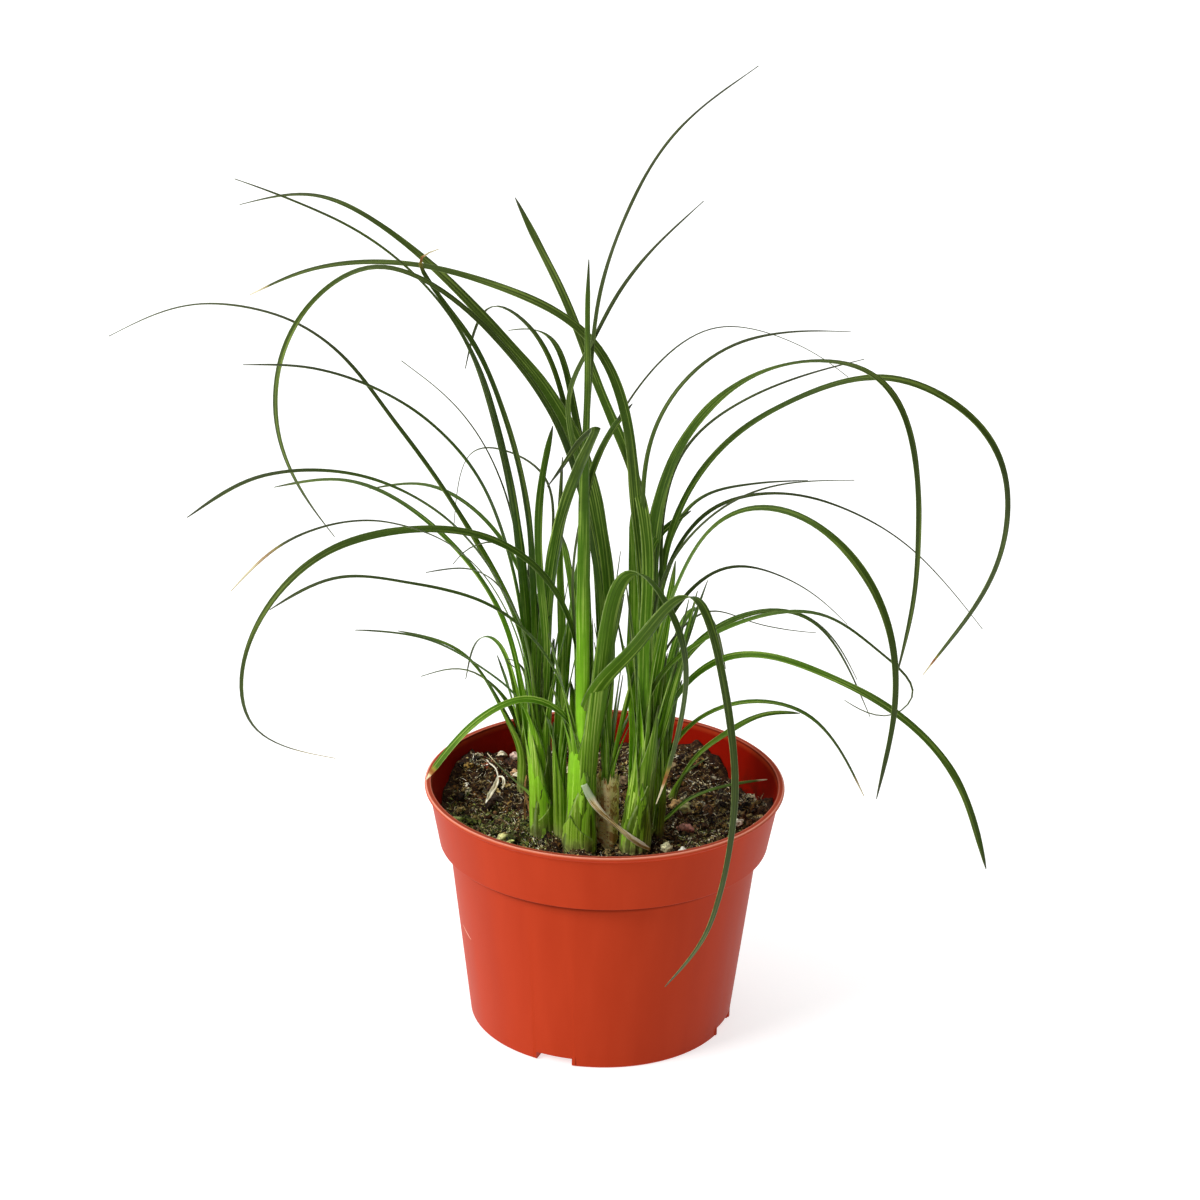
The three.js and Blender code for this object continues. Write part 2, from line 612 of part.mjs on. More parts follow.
function makeShoot(shoot) {
  const leaves = shoot.leaves.map((leaf, i) => makeLeaf(shoot, leaf, i));
  return outerSkin(wasm.Manifold.union([makeStem(shoot), ...leaves]));
}

// ---------------------------------------------------------------------------------------------
// Dead parts
// ---------------------------------------------------------------------------------------------
function sheathRadius(shoot) {
  return shoot.girth + GAP + SHEATH.thick;
}

function makeSheath() {
  const shoot = SHOOTS.find(({ name }) => name === SHEATH.shoot);
  const [x, y] = shoot.at;
  const outside = sheathRadius(shoot);
  const inside = outside - SHEATH.thick;
  const bottom = soilHeight(x, y) - SHEATH.depth;
  const top = soilHeight(x, y) + SHEATH.above;
  const tube = lathe([
    [inside, bottom],
    [outside, bottom],
    [outside, top - SHEATH.thinTop],
    [(inside + 2 * outside) / 3, top],
    [inside, top],
    [inside, bottom],
  ], SHEATH.sides);
  const across = 4 * outside;
  const height = top - bottom + 2 * PAST;
  const open = new THREE.BoxGeometry(across, across, height)
    .translate(0, SHEATH.open * outside + across / 2, (bottom + top) / 2);
  let sheath = tube.subtract(toSolid(open));
  for (const [heading, drop] of SHEATH.tears) {
    const place = headingVector(heading).multiplyScalar(outside);
    const tear = new THREE.CylinderGeometry(0, SHEATH.tearWidth / 2, drop, 4)
      .rotateX(-Math.PI / 2)
      .translate(place.x, place.y, top + MERGE - drop / 2);
    sheath = sheath.subtract(toSolid(tear));
  }
  return outerSkin(sheath.translate([x, y, 0]));
}

function makeDryLeaf() {
  const path = smoothPath(DRY_LEAF.through.map((p) => new THREE.Vector3(...p)));
  return makeBlade(path, new THREE.Vector3(...DRY_LEAF.across), DRY_LEAF.width, DRY_LEAF.roll);
}

// ---------------------------------------------------------------------------------------------
// The whole plant
// ---------------------------------------------------------------------------------------------
const plant = new THREE.Group();
plant.add(piece('pot', makePot(), 0xb53c1e, 0.45));
plant.add(piece('soil', makeSoil(), 0x33271c, 0.95));
for (const shoot of SHOOTS) plant.add(piece(shoot.name, makeShoot(shoot), shoot.colour, 0.5));
plant.add(piece('papery_sheath', makeSheath(), 0x8a6a3e, 0.9));
plant.add(piece('dry_leaf', makeDryLeaf(), 0xa88455, 0.85));

export default plant;
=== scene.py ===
"""A potted ponytail palm: eight young, grass-like shoots in a six-inch plastic nursery pot.

Metres, +Z up. The origin is the middle of the pot's flat bottom; the viewer stands at -Y.
"""
import math
import random

import bmesh
import bpy
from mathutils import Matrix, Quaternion, Vector, noise


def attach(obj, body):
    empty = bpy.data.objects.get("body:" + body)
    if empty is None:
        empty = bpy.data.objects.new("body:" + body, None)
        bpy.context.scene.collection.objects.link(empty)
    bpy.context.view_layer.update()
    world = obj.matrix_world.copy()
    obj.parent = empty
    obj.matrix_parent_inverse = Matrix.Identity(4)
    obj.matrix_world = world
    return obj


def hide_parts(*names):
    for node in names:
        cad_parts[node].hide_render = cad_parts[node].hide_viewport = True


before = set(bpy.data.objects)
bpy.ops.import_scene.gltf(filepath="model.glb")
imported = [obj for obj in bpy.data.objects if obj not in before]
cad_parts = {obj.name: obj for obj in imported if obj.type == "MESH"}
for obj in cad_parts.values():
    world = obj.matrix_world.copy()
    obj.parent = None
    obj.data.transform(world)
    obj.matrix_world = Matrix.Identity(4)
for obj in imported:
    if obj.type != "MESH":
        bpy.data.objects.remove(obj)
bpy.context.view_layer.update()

# ------------------------------------------------------------------------------------------------
# The pot: one thin shell of polypropylene, injection moulded. A broad band carries the rolled rim,
# and four drain channels are raised in its floor and run out through the foot.
# ------------------------------------------------------------------------------------------------
POT_HEIGHT, WALL, FLOOR_THICK = 0.107, 0.0014, 0.0016
FOOT_RADIUS, BODY_TOP_RADIUS = 0.0564, 0.0659
BAND_HEIGHT, BAND_BOTTOM_RADIUS, BAND_TOP_RADIUS = 0.0263, 0.07, 0.0748
BEAD_HEIGHT, RIM_RADIUS = 0.0028, 0.0762
FOOT_ROUND, BAND_FOOT_ROUND, RIM_ROUND = 0.0011, 0.0006, 0.0009
BAND_FOOT = POT_HEIGHT - BAND_HEIGHT
POT_SIDES, DRAIN_SIDES = 192, 32
CHANNEL_HEIGHT, CHANNEL_WIDTH, CHANNEL_INNER_END = 0.0038, 0.016, 0.034
CHANNEL_HEADINGS = (-110, -20, 70, 160)
DRAIN_RADIUS, DRAIN_DISTANCE = 0.004, 0.045
PAST = 0.005  # how far a cut runs past the surface that it opens
CRISP_FROM = 32  # degrees: edges that bend more are drawn sharp
SCRATCH = ((-0.0591, -0.0183, 0.0465), (-0.0553, -0.0271, 0.044))  # its two ends


def connect(node, inputs):
    """Sets a node's inputs to values or other outputs, by name or in the order that it shows."""
    if isinstance(inputs, tuple):
        inputs = dict(zip([socket for socket in node.inputs if socket.enabled], inputs))
    for key, value in inputs.items():
        socket = node.inputs[key] if isinstance(key, str) else key
        if isinstance(value, bpy.types.NodeSocket):
            node.id_data.links.new(value, socket)
        else:
            socket.default_value = value


def add(tree, kind, inputs=(), out=None, stops=(), **settings):
    """Adds a node with its settings, links and colour stops (the first, the last, then those
    between). It returns the output that is asked for, or the first. A kind with no prefix is a
    shader node."""
    node = tree.nodes.new(kind if kind[:8] in ("Geometry", "Function") else "ShaderNode" + kind)
    for name, value in settings.items():
        setattr(node, name, value)
    connect(node, inputs)
    for k, (place, code) in enumerate(stops):
        spots = node.color_ramp.elements
        spot = spots[-1] if k == 1 else spots[0] if k == 0 else spots.new(place)
        spot.position, spot.color = place, colour(code)
    return node.outputs[out] if out else next(end for end in node.outputs if end.enabled)


def colour(code):
    """An sRGB hex value as the linear colour that a shader takes."""
    parts = [int(code[i:i + 2], 16) / 255 for i in (1, 3, 5)]
    return (*[c / 12.92 if c <= 0.04045 else ((c + 0.055) / 1.055) ** 2.4 for c in parts], 1)


def new_material(name, constants):
    """A material, its tree and its shader, with the shader's own values set."""
    made = bpy.data.materials.new(name)
    made.use_nodes = True
    shader = made.node_tree.nodes["Principled BSDF"]
    connect(shader, constants)
    return made, made.node_tree, shader


def new_tree(name, floats, wholes=()):
    """An empty geometry tree with the named inputs, and its inputs' sockets."""
    tree = bpy.data.node_groups.new(name, "GeometryNodeTree")
    tree.interface.new_socket("Geometry", in_out="OUTPUT", socket_type="NodeSocketGeometry")
    kinds = {"Geometry": "Geometry", **dict.fromkeys(floats, "Float"), **dict.fromkeys(wholes, "Int"),
             "Material": "Material"}
    for label, kind in kinds.items():
        tree.interface.new_socket(label, in_out="INPUT", socket_type="NodeSocket" + kind)
    return tree, tree.nodes.new("NodeGroupInput").outputs


def end_tree(tree, geometry, material):
    """Closes a tree: everything in it becomes real mesh, in one material."""
    real = add(tree, "GeometryNodeRealizeInstances", {"Geometry": geometry})
    painted = add(tree, "GeometryNodeSetMaterial", {"Geometry": real, "Material": material})
    connect(tree.nodes.new("NodeGroupOutput"), {"Geometry": painted})
    return tree


def mesh_object(name, vertices=(), edges=(), faces=()):
    """A new object in the scene, with its place in its mesh."""
    mesh = bpy.data.meshes.new(name)
    mesh.from_pydata(vertices, edges, faces)
    made = bpy.data.objects.new(name, mesh)
    bpy.context.scene.collection.objects.link(made)
    return made


def take_shape(piece, shape, smooth=True):
    """Hands a shape over to a piece, with its faces turned outward."""
    bmesh.ops.recalc_face_normals(shape, faces=shape.faces)
    for face in shape.faces if smooth else ():
        face.smooth = True
    shape.to_mesh(piece.data)
    shape.free()


def grow(piece, tree, values):
    """Runs a tree on a piece, and makes the result its plain mesh."""
    modifier = piece.modifiers.new(tree.name, "NODES")
    modifier.node_group = tree
    for item in tree.interface.items_tree:
        if item.in_out == "INPUT" and item.name in values:
            modifier[item.identifier] = values[item.name]
    graph = bpy.context.evaluated_depsgraph_get()
    mesh = bpy.data.meshes.new_from_object(
        piece.evaluated_get(graph), preserve_all_data_layers=True, depsgraph=graph)
    piece.modifiers.remove(modifier)
    piece.data = mesh
    shape = bmesh.new()
    shape.from_mesh(mesh)
    take_shape(piece, shape, smooth=False)
    return piece


def arc(centre, radius, start, end, steps=5):
    """Points of an arc in the pot's outline, as distance from the axis and height."""
    angles = [math.radians(start + (end - start) * k / steps) for k in range(steps + 1)]
    return [(centre[0] + radius * math.cos(a), centre[1] + radius * math.sin(a)) for a in angles]


def body_radius(z):
    return FOOT_RADIUS + (BODY_TOP_RADIUS - FOOT_RADIUS) * z / BAND_FOOT


def band_radius(z):
    share = (z - POT_HEIGHT + BAND_HEIGHT) / BAND_HEIGHT
    return BAND_BOTTOM_RADIUS + (BAND_TOP_RADIUS - BAND_BOTTOM_RADIUS) * share


def pot_outline():
    """The shell's outline, from the middle of its underside round to the middle of its floor."""
    bead_foot = POT_HEIGHT - BEAD_HEIGHT
    step = BAND_FOOT + WALL
    lip_in = band_radius(POT_HEIGHT) - WALL
    return [
        (0, 0),
        *arc((FOOT_RADIUS - FOOT_ROUND, FOOT_ROUND), FOOT_ROUND, -90, 0),
        (BODY_TOP_RADIUS, BAND_FOOT),
        *arc((BAND_BOTTOM_RADIUS - BAND_FOOT_ROUND, BAND_FOOT + BAND_FOOT_ROUND), BAND_FOOT_ROUND, -90, 0),
        (band_radius(bead_foot), bead_foot),
        *arc((RIM_RADIUS - RIM_ROUND, POT_HEIGHT - RIM_ROUND), RIM_ROUND, -40, 90, 7),
        *arc((lip_in + RIM_ROUND / 2, POT_HEIGHT - RIM_ROUND / 2), RIM_ROUND / 2, 90, 180, 4),
        (band_radius(step) - WALL, step),
        (body_radius(step) - WALL, step),
        (body_radius(FLOOR_THICK) - WALL, FLOOR_THICK),
        (0, FLOOR_THICK),
    ]


def polypropylene():
    """Moulded polypropylene: an even, slightly waxy gloss over a fine spark-eroded mould texture,
    with faint flow marks, painted highlights and painted shade along the rim's edges (partly rubbed
    wear), a line of painted shade with some dirt under the band, and potting dust on the inner wall.
    The inside is painted a deeper, darker red as painted shade."""
    material, tree, shader = new_material("polypropylene_moulded", {
        "IOR": 1.49, "Specular IOR Level": 0.08, "Specular Tint": colour("#E08A70")})
    place = add(tree, "TexCoord", out="Object")
    height = add(tree, "SeparateXYZ", (place,), out="Z")

    # Flow marks run up the wall: 12 mm apart round the pot, and long
    stretched = add(tree, "Mapping", {"Vector": place, "Scale": (80, 80, 9)})
    flow = add(tree, "TexNoise", (stretched, 1.0, 3.0))
    body = add(tree, "ValToRGB", (flow,), stops=((0.3, "#B2381B"), (0.7, "#BA3D1F")))

    # Painted shade, with some dirt, darkens the corner under the band to a dark line
    flat = add(tree, "VectorMath", (place, (1, 1, 0)), operation="MULTIPLY")
    reach = add(tree, "VectorMath", (flat,), operation="LENGTH")
    settled = add(tree, "MapRange", (height, BAND_FOOT - 0.0034, BAND_FOOT - 0.0017, 0.0, 0.8))
    under = add(tree, "Math", (height, BAND_FOOT + 0.0002), operation="LESS_THAN")
    corner_shade_and_dirt = add(tree, "Math", (settled, under), operation="MULTIPLY")
    corner_shaded_body = add(tree, "Mix", (corner_shade_and_dirt, body, colour("#4A0E02")), data_type="RGBA")

    # The lip is dull on top; its outer edge carries a pale painted highlight, partly rubbed wear, and its
    # inner edge a dark line of painted shade beside a paler painted highlight
    lip = add(tree, "MapRange", (reach, BAND_TOP_RADIUS - WALL, RIM_RADIUS))
    lip_highlight_and_shade = add(tree, "ValToRGB", (lip,), stops=(
        (0.0, "#7A2010"), (1.0, "#B8482A"), (0.16, "#C06A54"), (0.3, "#9A3C26"), (0.66, "#A8442C"),
        (0.8, "#F0A48E"), (0.92, "#D87458")))
    topmost = add(tree, "MapRange", (height, POT_HEIGHT - 0.0011, POT_HEIGHT - 0.0005))
    rim = add(tree, "Mix", (topmost, corner_shaded_body, lip_highlight_and_shade), data_type="RGBA")

    # The band's inner wall is painted a deeper, darker red as painted shade, from 21 mm below the rim to just
    # under the lip
    middle = add(tree, "MapRange", (
        height, BAND_FOOT, POT_HEIGHT, BAND_BOTTOM_RADIUS - WALL / 2, BAND_TOP_RADIUS - WALL / 2))
    inside = add(tree, "Math", (reach, middle), operation="LESS_THAN")
    banded = add(tree, "Math", (height, 0.086), operation="GREATER_THAN")
    wall = add(tree, "Math", (inside, banded), operation="MULTIPLY")
    below = add(tree, "MapRange", (height, POT_HEIGHT - 0.0016, POT_HEIGHT - 0.003))
    painted_inner_shade = add(tree, "Math", (wall, below), operation="MULTIPLY")
    inner_shaded = add(tree, "Mix", (painted_inner_shade, rim, colour("#9E1708")), data_type="RGBA")

    # Dust lies on it just above the soil, in blots about 3 mm wide
    low = add(tree, "MapRange", (height, 0.09, 0.098, 0.6, 0.0))
    blots = add(tree, "MapRange", (add(tree, "TexNoise", (place, 330.0, 4.0)), 0.42, 0.62))
    dust = add(tree, "Math", (wall, low), operation="MULTIPLY")
    dusted = add(tree, "Math", (dust, blots), operation="MULTIPLY")
    dirty = add(tree, "Mix", (dusted, inner_shaded, colour("#3A1C10")), data_type="RGBA")

    # One pale scratch on the left of the body: the points whose distances to its two ends add up to
    # little more than its length
    length = (Vector(SCRATCH[0]) - Vector(SCRATCH[1])).length
    apart = [add(tree, "VectorMath", (place, end), operation="DISTANCE") for end in SCRATCH]
    both = add(tree, "Math", (apart[0], apart[1]), operation="ADD")
    scratched = add(tree, "MapRange", (both, length + 0.00004, length + 0.000015, 0.0, 0.75))
    final = add(tree, "Mix", (scratched, dirty, colour("#F0B9A0")), data_type="RGBA")

    # The mould texture is about 0.1 mm wide; it is drawn at 0.5 mm so that it shows
    grain = add(tree, "TexNoise", (place, 2000.0, 2.0))
    connect(shader, {
        "Base Color": final, "Roughness": add(tree, "MapRange", (flow, 0.3, 0.7, 0.42, 0.5)),
        "Normal": add(tree, "Bump", {"Height": grain, "Strength": 0.12, "Distance": 0.0001})})
    return material


def turned_shell():
    """A tree that turns an outline round Z, then raises and cuts the drain channels in its floor."""
    tree, given = new_tree("Turned shell", ("Channel width", "Channel wall"), ("Sides",))
    outline, sides, width, wall = (given[label] for label in (
        "Geometry", "Sides", "Channel width", "Channel wall"))
    count = add(tree, "GeometryNodeAttributeDomainSize", {"Geometry": outline}, out="Point Count")
    columns = add(tree, "Math", (sides, 1), operation="ADD")
    grid = add(tree, "GeometryNodeMeshGrid", {"Vertices X": columns, "Vertices Y": count})
    index = add(tree, "GeometryNodeInputIndex")
    row = add(tree, "Math", (index, count), operation="MODULO")
    column = add(tree, "Math", (index, count), operation="DIVIDE")
    whole = add(tree, "Math", (column,), operation="FLOOR")
    share = add(tree, "Math", (whole, sides), operation="DIVIDE")
    turn = add(tree, "Math", (share, 2 * math.pi), operation="MULTIPLY")
    point = add(tree, "GeometryNodeSampleIndex", {
        "Geometry": outline, "Value": add(tree, "GeometryNodeInputPosition"), "Index": row},
        data_type="FLOAT_VECTOR")
    spun = add(tree, "VectorRotate", {"Vector": point, "Angle": turn}, rotation_type="Z_AXIS")
    skin = add(tree, "GeometryNodeSetPosition", {"Geometry": grid, "Position": spun})
    shell = add(tree, "GeometryNodeMergeByDistance", {"Geometry": skin, "Distance": 1e-6})

    thick = add(tree, "Math", (wall, 2), operation="MULTIPLY")
    outer_width = add(tree, "Math", (width, thick), operation="ADD")
    tunnel_start, tunnel_end = CHANNEL_INNER_END - WALL, body_radius(CHANNEL_HEIGHT) - WALL / 2
    cut_end = FOOT_RADIUS + PAST
    tunnels, hollows = [], []
    for heading in CHANNEL_HEADINGS:
        turned = (0, 0, math.radians(heading))
        size = add(tree, "CombineXYZ", (
            tunnel_end - tunnel_start, outer_width, CHANNEL_HEIGHT + FLOOR_THICK / 2))
        tunnel = add(tree, "GeometryNodeMeshCube", {"Size": size})
        size = add(tree, "CombineXYZ", (cut_end - CHANNEL_INNER_END, width, 2 * CHANNEL_HEIGHT))
        hollow = add(tree, "GeometryNodeMeshCube", {"Size": size})
        drain = add(tree, "GeometryNodeMeshCylinder", {
            "Vertices": DRAIN_SIDES, "Radius": DRAIN_RADIUS, "Depth": 4 * CHANNEL_HEIGHT})
        tunnel_up = CHANNEL_HEIGHT / 2 + FLOOR_THICK * 0.75
        for boxes, box, out, up, turn in (
                (tunnels, tunnel, (tunnel_end + tunnel_start) / 2, tunnel_up, turned),
                (hollows, hollow, (cut_end + CHANNEL_INNER_END) / 2, 0, turned),
                (hollows, drain, DRAIN_DISTANCE, 0, (0, 0, 0))):
            place = Vector((out, 0, up))
            place.rotate(Quaternion((0, 0, 1), turned[2]))
            boxes.append(add(tree, "GeometryNodeTransform", {
                "Geometry": box, "Translation": place, "Rotation": turn}))
    for action, first, boxes in (("UNION", "Mesh 2", tunnels), ("DIFFERENCE", "Mesh 1", hollows)):
        for box in boxes:
            shell = add(tree, "GeometryNodeMeshBoolean", {first: shell}, operation=action, solver="EXACT")
            tree.links.new(box, shell.node.inputs["Mesh 2"])
    bend = add(tree, "GeometryNodeInputMeshEdgeAngle", out="Unsigned Angle")
    gentle = add(tree, "Math", (bend, math.radians(CRISP_FROM)), operation="LESS_THAN")
    smooth = add(tree, "GeometryNodeSetShadeSmooth", {"Geometry": shell, "Shade Smooth": True})
    crisp = add(tree, "GeometryNodeSetShadeSmooth", {
        "Geometry": smooth, "Shade Smooth": gentle}, domain="EDGE")
    return end_tree(tree, crisp, given["Material"])


outline = [(r, 0, z) for r, z in pot_outline()]
pot = mesh_object("nursery_pot", outline, [(k, k + 1) for k in range(len(outline) - 1)])
pot = grow(pot, turned_shell(), {
    "Sides": POT_SIDES, "Channel width": CHANNEL_WIDTH, "Channel wall": WALL,
    "Material": polypropylene()})
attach(pot, "root")
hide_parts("pot")

# ------------------------------------------------------------------------------------------------
# The soil: a damp peat mix, poured in and settled 15 mm below the rim, and heaped where the stems
# have pushed it up. It fills the pot down to its floor.
# ------------------------------------------------------------------------------------------------
SOIL_LEVEL = 0.092
GAP = 0.0003  # between the soil and the wall
SOIL_SWELLS = (  # middle, rise, spread
    ((-0.002, -0.028), 0.002, 0.03), ((0.04, 0.058), 0.007, 0.016), ((0.058, 0.03), -0.004, 0.019),
    ((-0.062, -0.006), -0.003, 0.022), ((-0.061, 0.036), 0.009, 0.02), ((0.071, 0.001), 0.006, 0.015))
COARSE_RISE, COARSE_RUN = 0.0009, 0.005
FINE_RISE, FINE_RUN = 0.0006, 0.0031
CLOD_RISE, CLOD_SIZE = 0.0034, 0.006
CRUMB_RISE, CRUMB_SIZE = 0.0016, 0.0021
SOIL_RINGS, SOIL_SECTORS = 72, 288
MOSSY_PLACE = (-0.05, -0.016, 0.092)


def soil_height(x, y):
    height = SOIL_LEVEL
    for (at_x, at_y), rise, spread in SOIL_SWELLS:
        height += rise * math.exp(-((x - at_x) ** 2 + (y - at_y) ** 2) / spread ** 2)
    height += COARSE_RISE * math.sin(x / COARSE_RUN) * math.cos(y / COARSE_RUN)
    return height + FINE_RISE * math.sin((x + y) / FINE_RUN)


def soil_top(x, y):
    """The soil's height with its clods and crumbs."""
    clod = noise.noise(Vector((x, y, 0.31)) / CLOD_SIZE)
    crumb = noise.noise(Vector((x, y, 0.77)) / CRUMB_SIZE)
    return soil_height(x, y) + CLOD_RISE * (clod - 0.2) + CRUMB_RISE * crumb


def soil_edge(angle):
    """How far the soil reaches toward the wall, which flares outward with height."""
    reach = band_radius(SOIL_LEVEL) - WALL - GAP
    level = soil_height(reach * math.cos(angle), reach * math.sin(angle))
    return band_radius(level) - WALL - GAP


def soil_body():
    """The soil as one closed shape, filling the pot from its floor up."""
    shape = bmesh.new()
    step = BAND_FOOT + WALL + GAP
    bottom = CHANNEL_HEIGHT + FLOOR_THICK + GAP
    turns = [2 * math.pi * s / SOIL_SECTORS for s in range(SOIL_SECTORS)]
    rings = []
    for wall, z in ((body_radius(bottom), bottom), (body_radius(step), step), (band_radius(step), step)):
        reach = wall - WALL - GAP
        rings.append([shape.verts.new((reach * math.cos(a), reach * math.sin(a), z)) for a in turns])
    for r in range(SOIL_RINGS, 0, -1):
        reaches = [soil_edge(a) * r / SOIL_RINGS for a in turns]
        spots = [(reach * math.cos(a), reach * math.sin(a)) for reach, a in zip(reaches, turns)]
        rings.append([shape.verts.new((x, y, soil_top(x, y))) for x, y in spots])
    for low, high in zip(rings, rings[1:]):
        for s in range(SOIL_SECTORS):
            after = (s + 1) % SOIL_SECTORS
            shape.faces.new((low[s], low[after], high[after], high[s]))
    middle = shape.verts.new((0, 0, soil_top(0, 0)))
    under = shape.verts.new((0, 0, bottom))
    for s in range(SOIL_SECTORS):
        after = (s + 1) % SOIL_SECTORS
        shape.faces.new((rings[-1][s], rings[-1][after], middle))
        shape.faces.new((rings[0][after], rings[0][s], under))
    made = mesh_object("potting_soil")
    take_shape(made, shape)
    return made


def peat():
    """Damp sphagnum peat: near-black brown, matt, with lighter fibre ends and dry crumbs. It is
    greener toward the front left, where moss has started."""
    material, tree, shader = new_material("sphagnum_peat_damp", {
        "Roughness": 0.9, "Specular IOR Level": 0.25})
    place = add(tree, "TexCoord", out="Object")
    # Crumbs 1.5 mm across, and clods 6 mm across
    crumbs = add(tree, "TexNoise", (place, 700.0, 5.0, 0.7))
    tint = add(tree, "ValToRGB", (crumbs,), stops=((0.34, "#120602"), (0.74, "#947644"), (0.55, "#381E08")))
    clods = add(tree, "MapRange", (add(tree, "TexNoise", (place, 160.0, 3.0)), 0.42, 0.62))
    patch = add(tree, "VectorMath", (place, MOSSY_PLACE), operation="DISTANCE")
    near = add(tree, "MapRange", (patch, 0.03, 0.008))
    mossy = add(tree, "Math", (near, clods), operation="MULTIPLY")
    connect(shader, {
        "Base Color": add(tree, "Mix", (mossy, tint, colour("#4E5626")), data_type="RGBA"),
        "Normal": add(tree, "Bump", {"Height": crumbs, "Strength": 0.9, "Distance": 0.0012})})
    return material


soil = soil_body()
soil.data.materials.append(peat())
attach(soil, "root")
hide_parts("soil")

# ------------------------------------------------------------------------------------------------
# What lies loose in the soil's surface: crumbs and clods of peat, fibres, perlite, bark and moss.
# It was mixed in or grew there, so it is strewn at random, each kind over its own patch.
# ------------------------------------------------------------------------------------------------
PATCH_STEP = 0.002
PATCH_WALL = 0.0685  # nothing lies further out than this, against the pot's wall
NOISE_MIDDLE = (0.5, 0.5, 0.5)
LUMP_TILT, FIBRE_TILT, WHOLE_TURN = 0.6, 1.0, 6.28  # radians
LUMP_SHADES, FIBRE_SHADES = 5, 8  # seeds
DENTS_PER_METRE = 900.0


def strewn(tree, given, shape, turn, size, seed):
    """Strews copies of a shape over a surface, half sunk in it. `shade` is a number of each one's
    own, which its material may use."""
    points = add(tree, "GeometryNodeDistributePointsOnFaces", {
        "Mesh": given["Geometry"], "Density": given["Density"], "Seed": given["Seed"]})
    copies = add(tree, "GeometryNodeInstanceOnPoints", {
        "Points": points, "Instance": shape, "Rotation": turn, "Scale": size})
    luck = add(tree, "FunctionNodeRandomValue", {"Seed": seed}, data_type="FLOAT")
    return add(tree, "GeometryNodeStoreNamedAttribute", {
        "Geometry": copies, "Name": "shade", "Value": luck}, data_type="FLOAT", domain="INSTANCE")


def strewn_pieces():
    """A tree that strews lumps over a surface. Each is a ball knocked out of shape."""
    tree, given = new_tree("Strewn pieces", (
        "Density", "Smallest", "Largest", "Length", "Roughness"), ("Seed", "Roundness"))
    seed = given["Seed"]
    # Most are small: the size goes with the cube of chance
    luck = add(tree, "FunctionNodeRandomValue", {"Seed": seed}, data_type="FLOAT")
    cubed = add(tree, "Math", (luck, 3.0), operation="POWER")
    size = add(tree, "MapRange", (cubed, 0.0, 1.0, given["Smallest"], given["Largest"]))
    odd = add(tree, "FunctionNodeRandomValue", {
        "Min": (0.6, 0.6, 0.5), "Max": (1.0, 1.0, 0.9), "Seed": seed}, data_type="FLOAT_VECTOR")
    stretch = add(tree, "CombineXYZ", (given["Length"], 1.0, 1.0))
    shaped = add(tree, "VectorMath", (odd, stretch), operation="MULTIPLY")
    turn = add(tree, "FunctionNodeRandomValue", {
        "Min": (-LUMP_TILT, -LUMP_TILT, 0.0), "Max": (LUMP_TILT, LUMP_TILT, WHOLE_TURN), "Seed": seed},
        data_type="FLOAT_VECTOR")
    ball = add(tree, "GeometryNodeMeshIcoSphere", {"Radius": 0.5, "Subdivisions": given["Roundness"]})
    scale = add(tree, "VectorMath", (shaped, size), operation="SCALE")
    pieces = strewn(tree, given, ball, turn, scale, LUMP_SHADES)
    real = add(tree, "GeometryNodeRealizeInstances", {"Geometry": pieces})
    place = add(tree, "GeometryNodeInputPosition")
    dents = add(tree, "TexNoise", (place, DENTS_PER_METRE, 1.0), out="Color")
    centred = add(tree, "VectorMath", (dents, NOISE_MIDDLE), operation="SUBTRACT")
    push = add(tree, "VectorMath", (centred, given["Roughness"]), operation="SCALE")
    knocked = add(tree, "GeometryNodeSetPosition", {"Geometry": real, "Offset": push})
    return end_tree(tree, knocked, given["Material"])


def strewn_fibres():
    """A tree that strews short curved fibres over a surface, most of them lying nearly flat."""
    tree, given = new_tree("Strewn fibres", ("Density", "Length", "Radius", "Tilt"), ("Seed",))
    seed, length, tilt = given["Seed"], given["Length"], given["Tilt"]
    bow = add(tree, "GeometryNodeCurveArc", {
        "Resolution": 5, "Radius": 0.7, "Start Angle": 0.9, "Sweep Angle": 1.4}, mode="RADIUS")
    slim = add(tree, "Math", (given["Radius"], length), operation="DIVIDE")
    ring = add(tree, "GeometryNodeCurvePrimitiveCircle", {"Resolution": 4, "Radius": slim}, mode="RADIUS")
    fibre = add(tree, "GeometryNodeCurveToMesh", {"Curve": bow, "Profile Curve": ring, "Fill Caps": True})
    centred = add(tree, "GeometryNodeTransform", {"Geometry": fibre, "Translation": (0.0, -0.62, 0.0)})
    least = add(tree, "Math", (length, 0.3), operation="MULTIPLY")
    size = add(tree, "FunctionNodeRandomValue", {
        "Min": least, "Max": length, "Seed": seed}, data_type="FLOAT")
    any_turn = add(tree, "FunctionNodeRandomValue", {
        "Min": (-FIBRE_TILT, -FIBRE_TILT, 0.0), "Max": (FIBRE_TILT, FIBRE_TILT, WHOLE_TURN), "Seed": seed},
        data_type="FLOAT_VECTOR")
    tilts = add(tree, "CombineXYZ", (tilt, tilt, 1.0))
    turn = add(tree, "VectorMath", (any_turn, tilts), operation="MULTIPLY")
    pieces = strewn(tree, given, centred, turn, size, FIBRE_SHADES)
    return end_tree(tree, pieces, given["Material"])


